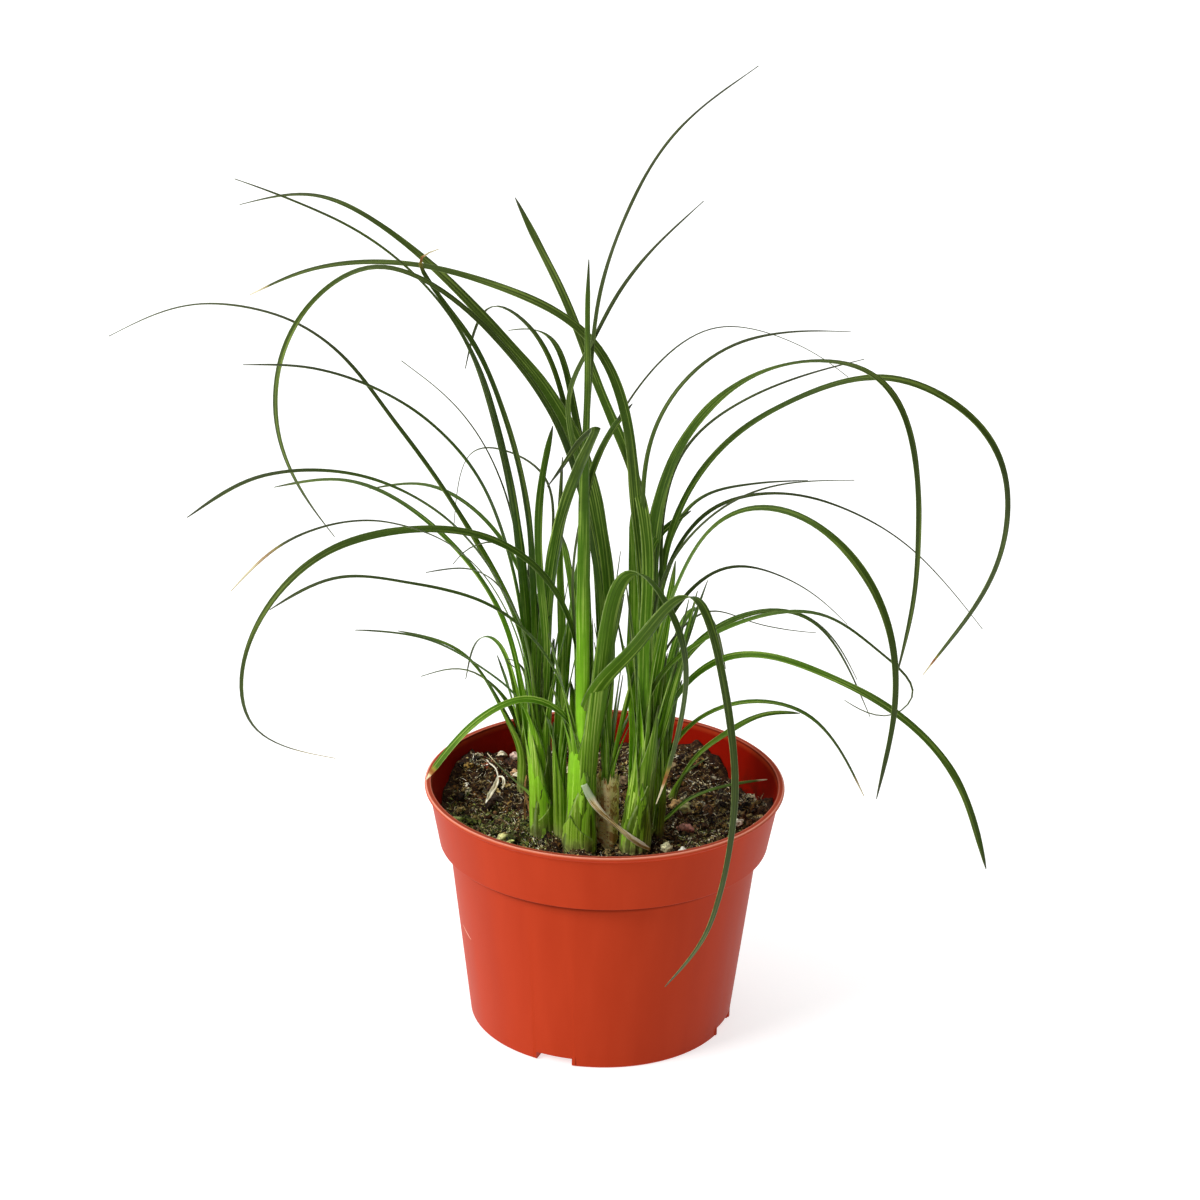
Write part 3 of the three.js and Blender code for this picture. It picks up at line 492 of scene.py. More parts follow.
def soil_patch(name, middle, radius):
    """A piece of the soil's surface on which to strew things, inside the pot's wall."""
    made = mesh_object(name)
    shape = bmesh.new()
    count = int(radius / PATCH_STEP)
    corners = {}
    for i in range(-count, count + 1):
        for j in range(-count, count + 1):
            x, y = middle[0] + i * PATCH_STEP, middle[1] + j * PATCH_STEP
            if math.hypot(x, y) < PATCH_WALL and math.hypot(i * PATCH_STEP, j * PATCH_STEP) <= radius:
                corners[i, j] = shape.verts.new((x, y, soil_top(x, y)))
    for i, j in corners:
        square = [(i, j), (i + 1, j), (i + 1, j + 1), (i, j + 1)]
        if all(corner in corners for corner in square):
            shape.faces.new([corners[corner] for corner in square])
    shape.to_mesh(made.data)
    shape.free()
    return made


def pitted(tree, shader, tint, painted_dent_shade_range, relief):
    """Gives a matt surface its colour, with painted shade in its dents and painted light on its high spots;
    the dents lie about 1 mm apart.
    """
    grain = add(tree, "TexNoise", (add(tree, "TexCoord", out="Object"), DENTS_PER_METRE, 4.0))
    # Painted shade and light: the colour is scaled down in the dents of the bump and up on its high spots
    dark = add(tree, "MapRange", (grain, *painted_dent_shade_range))
    connect(shader, {
        "Base Color": add(tree, "VectorMath", (tint, dark), operation="SCALE"),
        "Normal": add(tree, "Bump", {"Height": grain, "Strength": relief, "Distance": 0.0006})})


def litter(name, codes):
    """A loose part of the soil, matt and dented: each piece takes a colour of the range by its own
    `shade`."""
    material, tree, shader = new_material(name, {"Roughness": 0.9, "Specular IOR Level": 0.3})
    last = len(codes) - 1
    between_ends = [(k / last, codes[k]) for k in range(1, last)]
    tint = add(tree, "ValToRGB", (add(tree, "Attribute", out="Fac", attribute_name="shade"),),
               stops=((0.0, codes[0]), (1.0, codes[-1]), *between_ends))
    # Painted shade in the dents and painted light on the high spots
    pitted(tree, shader, tint, (0.4, 0.6, 0.04, 1.6), 0.7)
    return material


LUMPS, LUMP_INPUTS = strewn_pieces(), (
    "Density", "Seed", "Smallest", "Largest", "Length", "Roundness", "Roughness")
FIBRES, FIBRE_INPUTS = strewn_fibres(), ("Density", "Seed", "Length", "Radius", "Tilt")
CRUMB_CODES = ("#100501", "#2A1204", "#50340E", "#160902", "#664416", "#301806", "#907238", "#381D08",
               "#BCA468", "#1C0D03", "#F0E4BC")
MOSS_CODES = ("#1C2606", "#70802A", "#B4C062", "#2E3A0E", "#E0E69E", "#7C8A38")
STREWN = (
    # name, its middle and reach, the tree and its inputs, its material and colours
    ("peat_crumbs", (0, 0), 0.074, LUMPS, (100000.0, 3, 0.0008, 0.0046, 1.5, 2, 0.0042),
     "peat_crumbled", CRUMB_CODES),
    ("fine_crumbs", (0, 0), 0.074, LUMPS, (500000.0, 11, 0.0006, 0.0019, 1.4, 1, 0.0012),
     "peat_sifted", CRUMB_CODES),
    ("peat_fibres", (0, 0), 0.074, FIBRES, (240000.0, 5, 0.0085, 0.00016, 0.8), "sphagnum_fibre_dried",
     ("#4A3516", "#8A7440", "#BFAE7E", "#5A4520", "#DDD1A8", "#9C8A55", "#FBF5E0", "#6E5A2C")),
    ("perlite_grains", (0, 0), 0.073, LUMPS, (18000.0, 21, 0.0008, 0.003, 1.3, 2, 0.002),
     "perlite_expanded", ("#C9BD94", "#F8F0D4", "#E0D5AE", "#FFFBEF")),
    ("bark_chips", (0, 0), 0.071, LUMPS, (5200.0, 34, 0.002, 0.0062, 1.6, 2, 0.002),
     "pine_bark_chipped", ("#3A2415", "#5E3A20", "#2E1C10", "#86603A", "#4B301C")),
    ("red_crumbs", (-0.036, 0.046), 0.024, LUMPS, (180000.0, 36, 0.0008, 0.0028, 1.2, 2, 0.002),
     "bark_fines_composted", ("#3A1408", "#6B2A12", "#8C4A28", "#54200E", "#C08A62")),
    ("pale_crust", (-0.058, 0.037), 0.01, LUMPS, (420000.0, 51, 0.0007, 0.002, 1.3, 1, 0.0012),
     "lime_crust_dried", ("#6A6A48", "#BDBD9C", "#EDEAD8", "#8A8A64", "#FFFCF0")),
    ("moss_cushions", (-0.047, -0.022), 0.026, LUMPS, (52000.0, 61, 0.0015, 0.0062, 1.2, 2, 0.0036),
     "moss_cushion_living", ("#26290A", "#5E6628", "#1A1E08", "#B0B46A", "#363C12", "#90965A")),
    ("clods", (0.046, -0.012), 0.032, LUMPS, (30000.0, 63, 0.002, 0.006, 1.3, 2, 0.0045),
     "peat_clod_dried", ("#2E1606", "#5E4020", "#1C0D04", "#8A7040", "#40240E", "#BEA870")),
    ("moss_front", (-0.045, -0.024), 0.027, FIBRES, (900000.0, 41, 0.004, 0.00019, 1.3),
     "moss_shoots_living", MOSS_CODES),
    ("moss_left", (-0.057, 0.002), 0.016, FIBRES, (600000.0, 45, 0.0036, 0.0002, 1.3),
     "moss_shoots_living", MOSS_CODES),
    ("moss_right", (0.05, -0.026), 0.022, FIBRES, (480000.0, 42, 0.0038, 0.0002, 1.3),
     "moss_shoots_living", MOSS_CODES),
    ("moss_back", (-0.005, 0.03), 0.026, FIBRES, (260000.0, 43, 0.0034, 0.00018, 1.3),
     "moss_shoots_living", MOSS_CODES),
)
for name, middle, reach, tree, values, stuff, codes in STREWN:
    inputs = dict(zip(LUMP_INPUTS if tree == LUMPS else FIBRE_INPUTS, values))
    inputs["Material"] = bpy.data.materials.get(stuff) or litter(stuff, codes)
    part = grow(soil_patch(name, middle, reach), tree, inputs)
    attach(part, "root")

# ------------------------------------------------------------------------------------------------
# The stones: bits of grit and bark larger than the rest. Each lies loose where it is seen, among
# the crumbs that cover the soil. They are of different rock, washed pale or stained green.
# ------------------------------------------------------------------------------------------------
PEBBLES = (
    # place, length, width and height, colour
    ((-0.062, -0.01), (0.0056, 0.0044, 0.0036), "#A4AE66"),
    ((-0.042, -0.028), (0.0058, 0.004, 0.0034), "#D4D08C"),
    ((-0.047, 0.01), (0.0065, 0.0045, 0.003), "#3B2A1A"),
    ((-0.039, 0.031), (0.006, 0.004, 0.003), "#D0A67A"),
    ((-0.04, 0.049), (0.0045, 0.0034, 0.003), "#D9B9A8"),
    ((0.031, 0.008), (0.0054, 0.0046, 0.004), "#C49C64"),
    ((0.034, -0.003), (0.0064, 0.0046, 0.0042), "#BCBC7C"),
    ((0.034, -0.02), (0.0066, 0.0048, 0.0042), "#CC8C7C"),
    ((0.026, -0.037), (0.005, 0.004, 0.004), "#E6E0B0"),
    ((0.033, -0.039), (0.0045, 0.0032, 0.003), "#F0ECDC"),
    ((0.056, -0.014), (0.005, 0.0036, 0.003), "#E8E2C8"),
    ((0.048, -0.034), (0.0036, 0.003, 0.0026), "#EDE5CE"),
    ((0.008, 0.03), (0.005, 0.004, 0.0032), "#7B6446"), ((-0.01, 0.048), (0.0044, 0.004, 0.003), "#5E4A30"),
    ((0.03, 0.044), (0.004, 0.0034, 0.003), "#86734E"),
    ((-0.05, -0.038), (0.0036, 0.0032, 0.0028), "#CFC8A8"),
)
PEBBLE_TURN = 1.3  # radians from one to the next
PEBBLE_UP = 0.7  # how far a stone's middle lies above the soil under the crumbs, over its height
PEBBLE_DENT, PEBBLE_DENTS = 0.7, 3.2  # how deep its dents are, and how many to its width


def pebble_stone():
    """Weathered grit and bark: matt, pitted, in its own colour, with painted shade in its dents and a little
    painted light on its high spots.
    """
    material, tree, shader = new_material("stone_weathered", {"Roughness": 0.85})
    own = add(tree, "Attribute", out="Color", attribute_name="tint")
    # Painted shade in the dents and painted light on the high spots
    pitted(tree, shader, own, (0.36, 0.58, 0.45, 1.3), 0.8)
    return material


shape = bmesh.new()
tint = shape.verts.layers.float_color.new("tint")
for count, ((x, y), size, code) in enumerate(PEBBLES):
    for vertex in bmesh.ops.create_icosphere(shape, subdivisions=3, radius=0.5)["verts"]:
        dent = 1 + PEBBLE_DENT * noise.noise(vertex.co * PEBBLE_DENTS + Vector((count, 0, 0)))
        vertex.co = Vector(vertex.co[k] * size[k] * dent for k in range(3))
        vertex.co.rotate(Quaternion((0, 0, 1), count * PEBBLE_TURN))
        vertex.co += Vector((x, y, soil_top(x, y) + PEBBLE_UP * size[2]))
        vertex[tint] = colour(code)
for face in shape.faces:
    face.smooth = True
pebbles = mesh_object("pebbles")
shape.to_mesh(pebbles.data)
shape.free()
pebbles.data.materials.append(pebble_stone())
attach(pebbles, "root")

# ------------------------------------------------------------------------------------------------
# The shoots: young leaves grown from the soil, each stem no more than their bases wrapped round
# each other. The leaves part from it one above the next, arch out, and hang at their fine tips.
# ------------------------------------------------------------------------------------------------
STEM_ABOVE_SOIL, STEM_DEPTH = 0.054, 0.008  # a stem's height, and how far it reaches into the soil
STEM_UPRIGHT = 0.004  # it leans only above this
STEM_SHARES = ((-0.014, 0.94), (0.004, 1.0), (0.02, 0.86), (0.043, 0.7), (0.054, 0.4))
FIRST_PARTING = 0.016  # height above the soil where the first leaf leaves its stem
MIDDLE_PARTING = 0.035  # the middle shoot's leaves part above its papery sheath
PARTING_STEP, PARTINGS = 0.0025, 6
SHEATH_WRAP = 2.1  # radians: how far a leaf base wraps to either side of its midrib
SHEATH_FADE = 0.07  # the length over which a base opens out into its blade
OPENS_AT, OPEN_BY = 0.6, 0.6  # from this share of the base, over at most this share of the leaf
BLADE_THICK, BLADE_STEP = 0.00055, 0.0035
BLADE_CURL, CURL_LOSS = 0.5, 0.3  # radians to either side, and how much less at the tip
TIP_WIDTH = 0.0004
TIP_SHARE = 0.06  # the last part of a blade, which draws to its point
UNEVEN, UNEVEN_RUN = 0.12, 0.018  # a blade's width varies by this share, over such a length
WOBBLE, WOBBLE_RUN, WOBBLE_RISE = 0.0011, 0.045, 0.08  # and it strays this far from its curve
GLANCE = 0.004  # share of a leaf to either side, between which its direction is taken
SECTION_POINTS = 12
NEST = 0.55  # the innermost leaf wraps this much closer than the outermost
BASE_BEND = 0.4  # the share of a leaf base at which its curve is held
# Each leaf: its heading (degrees from +X toward +Y); its widths and the rolls of its face about its
# own length (degrees), both evenly spaced from its root to its tip; points that it passes through,
# as reach from its stem and height; and, for some, their tone (0 fresh to 1 old and grey-green),
# how much of the tip is dry, how closely it wraps its stem, how high it parts from it, or the
# side sprout that it stands on.
SHOOTS = [
    {"name": "shoot_left", "at": (-.025, -.021), "girth": .006, "lean": (-.004, .001), "leaves": [
        (190, (.006, .006, .005, .0024, .0011), (-60, -52, -42, -12, -30), [(.008, .184), (.018, .257),
         (.042, .32), (.076, .352), (.122, .373)]),
        (184, (.0045, .0045, .0035, .0028, .0024), (-50, -40), [(.005, .187), (.012, .253), (.029, .302),
         (.047, .33), (.05, .339), (.043, .343)], {"dry": .05}),
        (163, (.003, .0026, .0019, .0012, .0007), (-60, -30), [(.01, .176), (.031, .22), (.066, .266),
         (.107, .302), (.153, .305), (.191, .288)], {"tone": .75}),
        (200, (.003, .003, .0026, .0018, .0013), (-50, -25), [(.012, .198), (.034, .258), (.064, .288),
         (.094, .302), (.123, .306)]),
        (145, (.0016, .0014, .001, .0006, .0004), (-50, -30), [(.014, .21), (.032, .255), (.053, .273),
         (.075, .284)], {"tone": 1}),
        (215, (.0028, .0026, .0022, .0021, .0019), (-40, -20), [(.011, .177), (.034, .225), (.065, .254),
         (.101, .269), (.132, .272), (.161, .262)]),
        (155, (.0026, .0024, .002, .0018, .0016), (-60, -35), [(.011, .155), (.028, .197), (.058, .223),
         (.095, .232), (.128, .224)]),
        (232, (.002, .0017, .0014, .0014, .0013), (-30, -10), [(.02, .189), (.044, .223), (.085, .251),
         (.131, .263), (.16, .26), (.178, .252)], {"dry": .11}),
        (222, (.0028, .0026, .002, .0017, .0012), (-40, -15), [(.012, .152), (.032, .173), (.065, .196),
         (.097, .207)]),
        (245, (.002, .0018, .0016, .0015, .0009), (-20, -10), [(.021, .19), (.045, .218), (.075, .235),
         (.102, .242)], {"tone": .7}),
        (150, (.0026, .0023, .0019, .0017, .0014), (-60, -30), [(.008, .195), (.027, .223), (.059, .235),
         (.087, .228)]),
        (165, (.0016, .0014, .001, .0008, .0006), (-60, -40), [(.007, .204), (.018, .218), (.034, .214),
         (.04, .207)], {"tone": .8}),
        (130, (.0022, .0018, .0012, .0008, .0008), (-60, -40), [(-.001, .205), (.002, .248), (.026, .253),
         (.052, .244), (.063, .212)], {"tone": .8}),
        (-72, (.0065, .007, .0065, .0055, .003, .0014), (20, 0), [(-.002, .178), (.017, .236), (.039, .265),
         (.056, .282), (.061, .288), (.047, .282), (.016, .257), (0, .245)], {"tone": .1}),
        (70, (.004, .004, .0035, .0032, .0026), (10, 30), [(-.002, .179), (-.01, .217), (-.008, .25), (.005,
         .269)], {"tone": .35})]},
    {"name": "shoot_inner", "at": (-.0175, -.028), "girth": .0032, "lean": (-.003, .002), "leaves": [
        (100, (.0045, .0045, .0035, .0026, .0012), (0, -20), [(.008, .18), (.014, .225), (.012, .256)]),
        (85, (.0036, .0032, .0026, .002, .001), (0, 20), [(.01, .16), (.036, .192), (.074, .19), (.1,
         .162)])]},
    {"name": "shoot_front", "at": (-.01, -.038), "girth": .007, "lean": (.001, .001), "leaves": [
        (270, (.0062, .006, .005, .003, .002), (0, 30), [(.004, .187), (.004, .23), (.004, .289), (.004,
         .344)], {"tone": -.5, "wrap": .85}),
        (50, (.003, .0028, .0022, .0014, .0007), (0, 20), [(.001, .22), (.001, .28), (.014, .344), (.045,
         .38), (.102, .404)], {"tone": .6}),
        (33, (.004, .004, .0038, .0034, .0026), (20, 30), [(.001, .22), (.001, .249), (.012, .272), (.022,
         .282)], {"tone": .3}),
        (50, (.003, .003, .0024, .0017, .0008), (20, 20), [(.001, .19), (-.002, .254), (-.009, .295), (.001,
         .308), (.018, .326), (.034, .337), (.07, .354)], {"tone": .4}),
        (205, (.0038, .0038, .0036, .0034, .002, .0009), (-50, -30), [(.007, .196), (.035, .231), (.079,
         .243), (.116, .234), (.14, .205), (.14, .173), (.106, .152)], {"tone": .5, "dry": .06}),
        (215, (.0028, .0024, .0021, .0018, .0015), (-50, -20), [(.012, .173), (.049, .213), (.081, .227),
         (.115, .235), (.142, .228)], {"tone": .5}),
        (200, (.0036, .0035, .0034, .0034, .0032), (-50, -25), [(.005, .149), (.024, .163), (.042, .158),
         (.066, .133)], {"tone": .2, "dry": .05}),
        (150, (.0045, .004, .0032, .0026), (-60, -60), [(.003, .19), (.01, .228)], {"tone": 0}),
        (33, (.0018, .0014, .0012, .0008, .0005), (20, 10), [(.001, .249), (.012, .272), (.03, .294), (.058,
         .307), (.101, .295), (.128, .277)], {"tone": .9}),
        (-50, (.0078, .0078, .006, .004, .003, .002), (-40, -20, 0, 10), [(.004, .154), (.035, .195), (.066,
         .224), (.088, .182), (.092, .136), (.079, .087), (.056, .053)], {"tone": .65, "wrap": .95}),
        (-45, (.0085, .0085, .0064, .0046, .0034, .0014), (-45, -40, -10, 10), [(.01, .163), (.032, .223),
         (.052, .206), (.057, .178), (.043, .128)], {"tone": .6, "dry": .1, "wrap": 1})]},
    {"name": "shoot_middle", "at": (.001, -.032), "girth": .003, "lean": (0, .002), "leaves": [
        (158, (.008, .0086, .0076, .0045, .0024, .0011), (-60, -35), [(.003, .201), (.018, .268), (.05,
         .306), (.091, .338), (.13, .353), (.165, .346)], {"tone": .3}),
        (188, (.0045, .0045, .0042, .0036, .0036, .003, .0015), (-50, -50, -45, -28, -14, -38, -38), [(.005,
         .201), (.019, .268), (.053, .317), (.096, .34), (.129, .307), (.128, .263), (.11, .232)],
         {"tone": .35}),
        (140, (.003, .0028, .0026, .0022, .0013), (-60, -60, -20, 20), [(.004, .2), (.023, .268), (.043,
         .305), (.063, .311), (.08, .281)], {"tone": .7}),
        (125, (.005, .005, .0046, .0034, .0018), (-45, -45, 0, 20), [(.003, .2), (.025, .266), (.044, .298),
         (.076, .295)], {"tone": .3})]},
    {"name": "shoot_right", "at": (.0125, -.037), "girth": .0063, "lean": (.006, .002), "leaves": [
        (165, (.006, .0056, .005, .0036, .0025, .0019), (-60, -40), [(-.003, .186), (.004, .253), (.019,
         .305), (.058, .327), (.103, .333), (.134, .329), (.164, .315)], {"tone": .3, "dry": .03}),
        (125, (.005, .005, .005, .004, .0034, .0028), (-40, -20), [(-.004, .187), (.001, .245), (.022,
         .274), (.05, .308), (.094, .348)], {"tone": .3}),
        (25, (.004, .0034, .0024, .002, .0014, .0006), (50, 30), [(.004, .185), (0, .24), (.009, .283),
         (.04, .305), (.091, .305)], {"tone": .6}),
        (15, (.002, .0018, .0014, .001, .0005), (50, 30), [(.005, .177), (.016, .223), (.043, .245), (.088,
         .248)], {"tone": .8}),
        (-25, (.0046, .0046, .0034, .0032, .0036, .003, .0024), (40, 40, 28, 36, 36), [(.006, .165), (.016,
         .212), (.045, .249), (.08, .244), (.107, .204), (.105, .138)], {"tone": .45}),
        (-5, (.0035, .003, .0024, .0018, .0015, .0013), (50, 30, 20, 40), [(.006, .164), (.033, .192),
         (.072, .201), (.098, .185), (.111, .167), (.104, .159), (.094, .159), (.084, .164)], {"tone": .6}),
        (100, (.007, .007, .006, .0046, .0032), (0, 0), [(.008, .165), (.012, .2), (.023, .234)],
         {"tone": -.5})]},
    {"name": "shoot_back", "at": (.021, -.011), "girth": .0044, "lean": (.001, .003), "leaves": [
        (-15, (.007, .0075, .0074, .005, .0032, .0032, .0028, .0018), (85, 80, 70, 50, 6, 38, 42, 42),
         [(-.003, .185), (.006, .257), (.039, .294), (.082, .298), (.105, .236), (.099, .169)],
         {"tone": .35}),
        (30, (.0022, .002, .0016, .0012, .0008), (50, 30), [(.001, .195), (.009, .255), (.037, .273), (.096,
         .283)], {"tone": .6}),
        (0, (.0046, .0038, .0032, .003, .0034, .0034, .0028), (75, 65, 45, 25, 50, 50, 50), [(0, .18),
         (.015, .249), (.046, .277), (.093, .289), (.136, .255), (.136, .21), (.11, .162)], {"tone": .5,
         "dry": .03}),
        (50, (.0025, .0022, .0018, .0014, .0008), (40, 25), [(0, .195), (.014, .226), (.053, .23), (.1,
         .22)]),
        (20, (.004, .004, .0034, .0026), (50, 40), [(-.003, .185), (0, .222), (.013, .231)]),
        (15, (.003, .0024, .0018, .0012, .0008, .0005), (60, 35), [(-.001, .185), (.022, .232), (.067,
         .232), (.101, .214), (.143, .168)], {"tone": .7}),
        (40, (.003, .0022, .0017, .0014, .001, .0006), (50, 30), [(.003, .179), (.028, .198), (.057, .194),
         (.109, .157)], {"tone": .9}),
        (25, (.0035, .003, .0027, .0023, .0017, .001), (50, 30), [(.005, .153), (.026, .177), (.07, .175),
         (.095, .143)], {"tone": .4}),
        (45, (.0016, .0012, .001, .0008, .0005), (30, 20), [(.004, .17), (.024, .18), (.057, .169), (.099,
         .152)], {"tone": 1}),
        (35, (.0036, .0034, .0032, .0024, .0018), (50, 30), [(.0035, .1017), (.0127, .1117), (.0232, .1167),
         (.0446, .1221), (.0669, .1179)], {"tone": .8, "parting": .002, "sprout": {"at": (.0302, .0109),
         "girth": .0012, "lean": (0, 0)}}),
        (95, (.0045, .0045, .0035, .0025, .0012), (0, 20), [(.008, .165), (.03, .195), (.062, .185), (.08,
         .15)]),
        (70, (.0035, .003, .0026, .002, .001), (0, 20), [(.008, .15), (.032, .172), (.07, .16), (.092,
         .128)])]},
    {"name": "shoot_side", "at": (.022, -.025), "girth": .0028, "lean": (.004, .001), "leaves": [
        (10, (.0035, .0028, .0022, .0019, .0017, .001), (50, 30), [(.003, .158), (.023, .185), (.052, .191),
         (.09, .142)], {"tone": .5}),
        (-20, (.0046, .004, .0032, .003, .0031, .0033, .003), (50, 40), [(.003, .145), (.031, .179), (.072,
         .177), (.122, .145), (.14, .104)], {"tone": .45}),
        (0, (.0028, .0024, .002, .0017, .0015, .0012), (50, 40), [(.007, .135), (.031, .154), (.058, .151),
         (.086, .113)], {"tone": .5, "dry": .08}),
        (40, (.0018, .0018, .0016, .0014, .001), (50, 30), [(.0086, .0995), (.0166, .1038), (.0303, .1062),
         (.0471, .1048), (.0657, .1015)], {"tone": .4, "parting": .002, "dry": .09, "sprout": {"at": (.0192,
         -.0282), "girth": .0012, "lean": (0, 0)}})]},
    {"name": "shoot_rear", "at": (-.035, .018), "girth": .0024, "lean": (-.001, .001), "leaves": [
        (190, (.003, .0024, .0019, .0016, .001), (-50, -30), [(.008, .127), (.027, .159), (.054, .17)],
         {"tone": .4}),
        (165, (.0016, .0014, .0011, .0008, .0005), (-50, -30), [(.005, .128), (.025, .146), (.046, .141)],
         {"tone": .9}),
        (240, (.0025, .0022, .0018, .0014, .0008), (-20, 0), [(-.001, .126), (.006, .155), (.014, .159),
         (.003, .15)]),
        (115, (.003, .0026, .002, .0014, .0007), (0, -20), [(.006, .128), (.024, .15), (.052, .142), (.066,
         .12)])]},
]
YOUNG_LEAVES = {"shoot_left": 12, "shoot_inner": 5, "shoot_front": 9, "shoot_middle": 13,
                "shoot_right": 13, "shoot_back": 12, "shoot_side": 4, "shoot_rear": 3}
YOUNG_HEADINGS, YOUNG_WRAPS, YOUNG_HEIGHTS = (-30, 210), (0.35, 0.85), (0.06, 0.12)
YOUNG_REACHES, YOUNG_PARTINGS, YOUNG_SHIFT = (0.02, 0.16), (0.015, 0.03), 0.003
YOUNG_WIDTHS, YOUNG_ROLLS, YOUNG_TONES = (0.003, 0.0062), (40, 70), (0, 0.7)
YOUNG_TAPER, YOUNG_BOW = (1.25, 1.1, 0.75, 0.25), 0.22
STOUT = 0.006  # the girth of a shoot whose young leaves are full size
OLD_BASES = {  # of each: its heading and height, and its tone
    "shoot_left": ((355, 0.055, 1.0), (205, 0.05, -0.35), (310, 0.016, 0.7)),
    "shoot_front": ((215, 0.07, -0.3), (330, 0.055, 0.35), (232, 0.017, 0.0)),
    "shoot_right": ((345, 0.05, 1.0), (222, 0.052, 0.1), (300, 0.065, 0.7)),
    "shoot_inner": ((230, 0.05, 0.4),), "shoot_back": ((280, 0.04, 0.5),)}
OLD_BASE_WRAP, OLD_BASE_BEND, OLD_BASE_LEAN, OLD_BASE_TAPER = 1.03, 0.35, 0.02, (1, 0.7, 0.2)


def smooth_path(points):
    """A natural cubic spline through the points, as a function of 0..1, and its length. It bends
    evenly, as a leaf does under its own weight."""
    knots = [0]
    for before, after in zip(points, points[1:]):
        knots.append(knots[-1] + (after - before).length)
    last = len(points) - 1
    bend = [Vector() for _ in points]
    upper = [0] * len(points)
    for i in range(1, last):
        before, after = knots[i] - knots[i - 1], knots[i + 1] - knots[i]
        pivot = 2 * (before + after) - before * upper[i - 1]
        upper[i] = after / pivot
        change = (points[i + 1] - points[i]) * (6 / after) - (points[i] - points[i - 1]) * (6 / before)
        bend[i] = (change - bend[i - 1] * before) / pivot
    for i in range(last - 1, 0, -1):
        bend[i] -= bend[i + 1] * upper[i]

    def at(share):
        reach = share * knots[last]
        i = 0
        while i < last - 1 and reach > knots[i + 1]:
            i += 1
        span = knots[i + 1] - knots[i]
        b = (reach - knots[i]) / span
        a = 1 - b
        return (points[i] * a + points[i + 1] * b
                + bend[i] * ((a ** 3 - a) * span * span / 6)
                + bend[i + 1] * ((b ** 3 - b) * span * span / 6))
    return at, knots[last]


def heading_vector(heading):
    return Vector((math.cos(math.radians(heading)), math.sin(math.radians(heading)), 0))


def ease(value):
    value = min(1, max(0, value))
    return value * value * (3 - 2 * value)


def between(values, share):
    """The value at a share of the way through evenly spaced values."""
    place = min(0.9999, max(0, share)) * (len(values) - 1)
    first = int(place)
    return values[first] + (values[first + 1] - values[first]) * ease(place - first)


def stem_axis(shoot, above):
    """A stem's middle at a height above the soil."""
    x, y = shoot["at"]
    ground = soil_height(x, y)
    z = ground + above
    share = max(0, z - ground - STEM_UPRIGHT) / STEM_ABOVE_SOIL
    return Vector((x + shoot["lean"][0] * share, y + shoot["lean"][1] * share, z))


def stem_share(above):
    """How thick a stem is at a height above the soil, as a share of its girth."""
    for (low, wide), (high, narrow) in zip(STEM_SHARES, STEM_SHARES[1:]):
        if above <= high:
            return wide + (narrow - wide) * max(0, above - low) / (high - low)
    return STEM_SHARES[-1][1]


def on_stem(shoot, outward, wrap, above):
    """Where a leaf base lies on its stem, at a height above the soil."""
    return stem_axis(shoot, above) + outward * (wrap * stem_share(above))


def leaf_rail(points, across, sheathed, wrap, widths, rolls, tone, dry_tip=0.0, sink=STEM_DEPTH):
    """The midrib of one leaf: at each point along it, its place, its two directions and what its
    section needs. Over its first `sheathed` metres it is rolled round a stem of the radius `wrap`;
    from there it opens into its blade."""
    path, length = smooth_path(points)
    steps = max(20, round(length / BLADE_STEP))
    luck = tone * 97 + length * 1000  # differs from leaf to leaf
    rail = []

    def place(share):
        run = share * length
        stray = noise.noise_vector(Vector((run / WOBBLE_RUN, luck, 0)))
        return path(share) + stray * (WOBBLE * ease((run - sheathed) / WOBBLE_RISE))

    for k in range(steps + 1):
        share = k / steps
        along = (place(min(1, share + GLANCE)) - place(max(0, share - GLANCE))).normalized()
        gone = share * length
        free = max(0, gone - sheathed) / (length - sheathed)
        opened = ease((gone - sheathed * OPENS_AT) / min(SHEATH_FADE, length * OPEN_BY))
        roll = between(rolls, free) * ease((gone - sheathed) / SHEATH_FADE)
        side = (across - along * across.dot(along)).normalized()
        side.rotate(Quaternion(along, math.radians(roll)))
        radius = wrap * stem_share(gone - sink)
        point = math.sqrt(min(1, max(0, 1 - free) / TIP_SHARE))
        uneven = 1 + UNEVEN * noise.noise(Vector((gone / UNEVEN_RUN, luck, 5)))
        blade = max(TIP_WIDTH, between(widths, free) * point * uneven) / 2
        rail.append((place(share), side, along.cross(side), {
            "half_width": radius * SHEATH_WRAP + (blade - radius * SHEATH_WRAP) * opened,
            "curl": SHEATH_WRAP + (BLADE_CURL - CURL_LOSS * free - SHEATH_WRAP) * opened,
            "rise": gone - sink, "tone": tone,
            "dry": max(0, (free - 1 + dry_tip) / dry_tip) if dry_tip else 0}))
    return rail


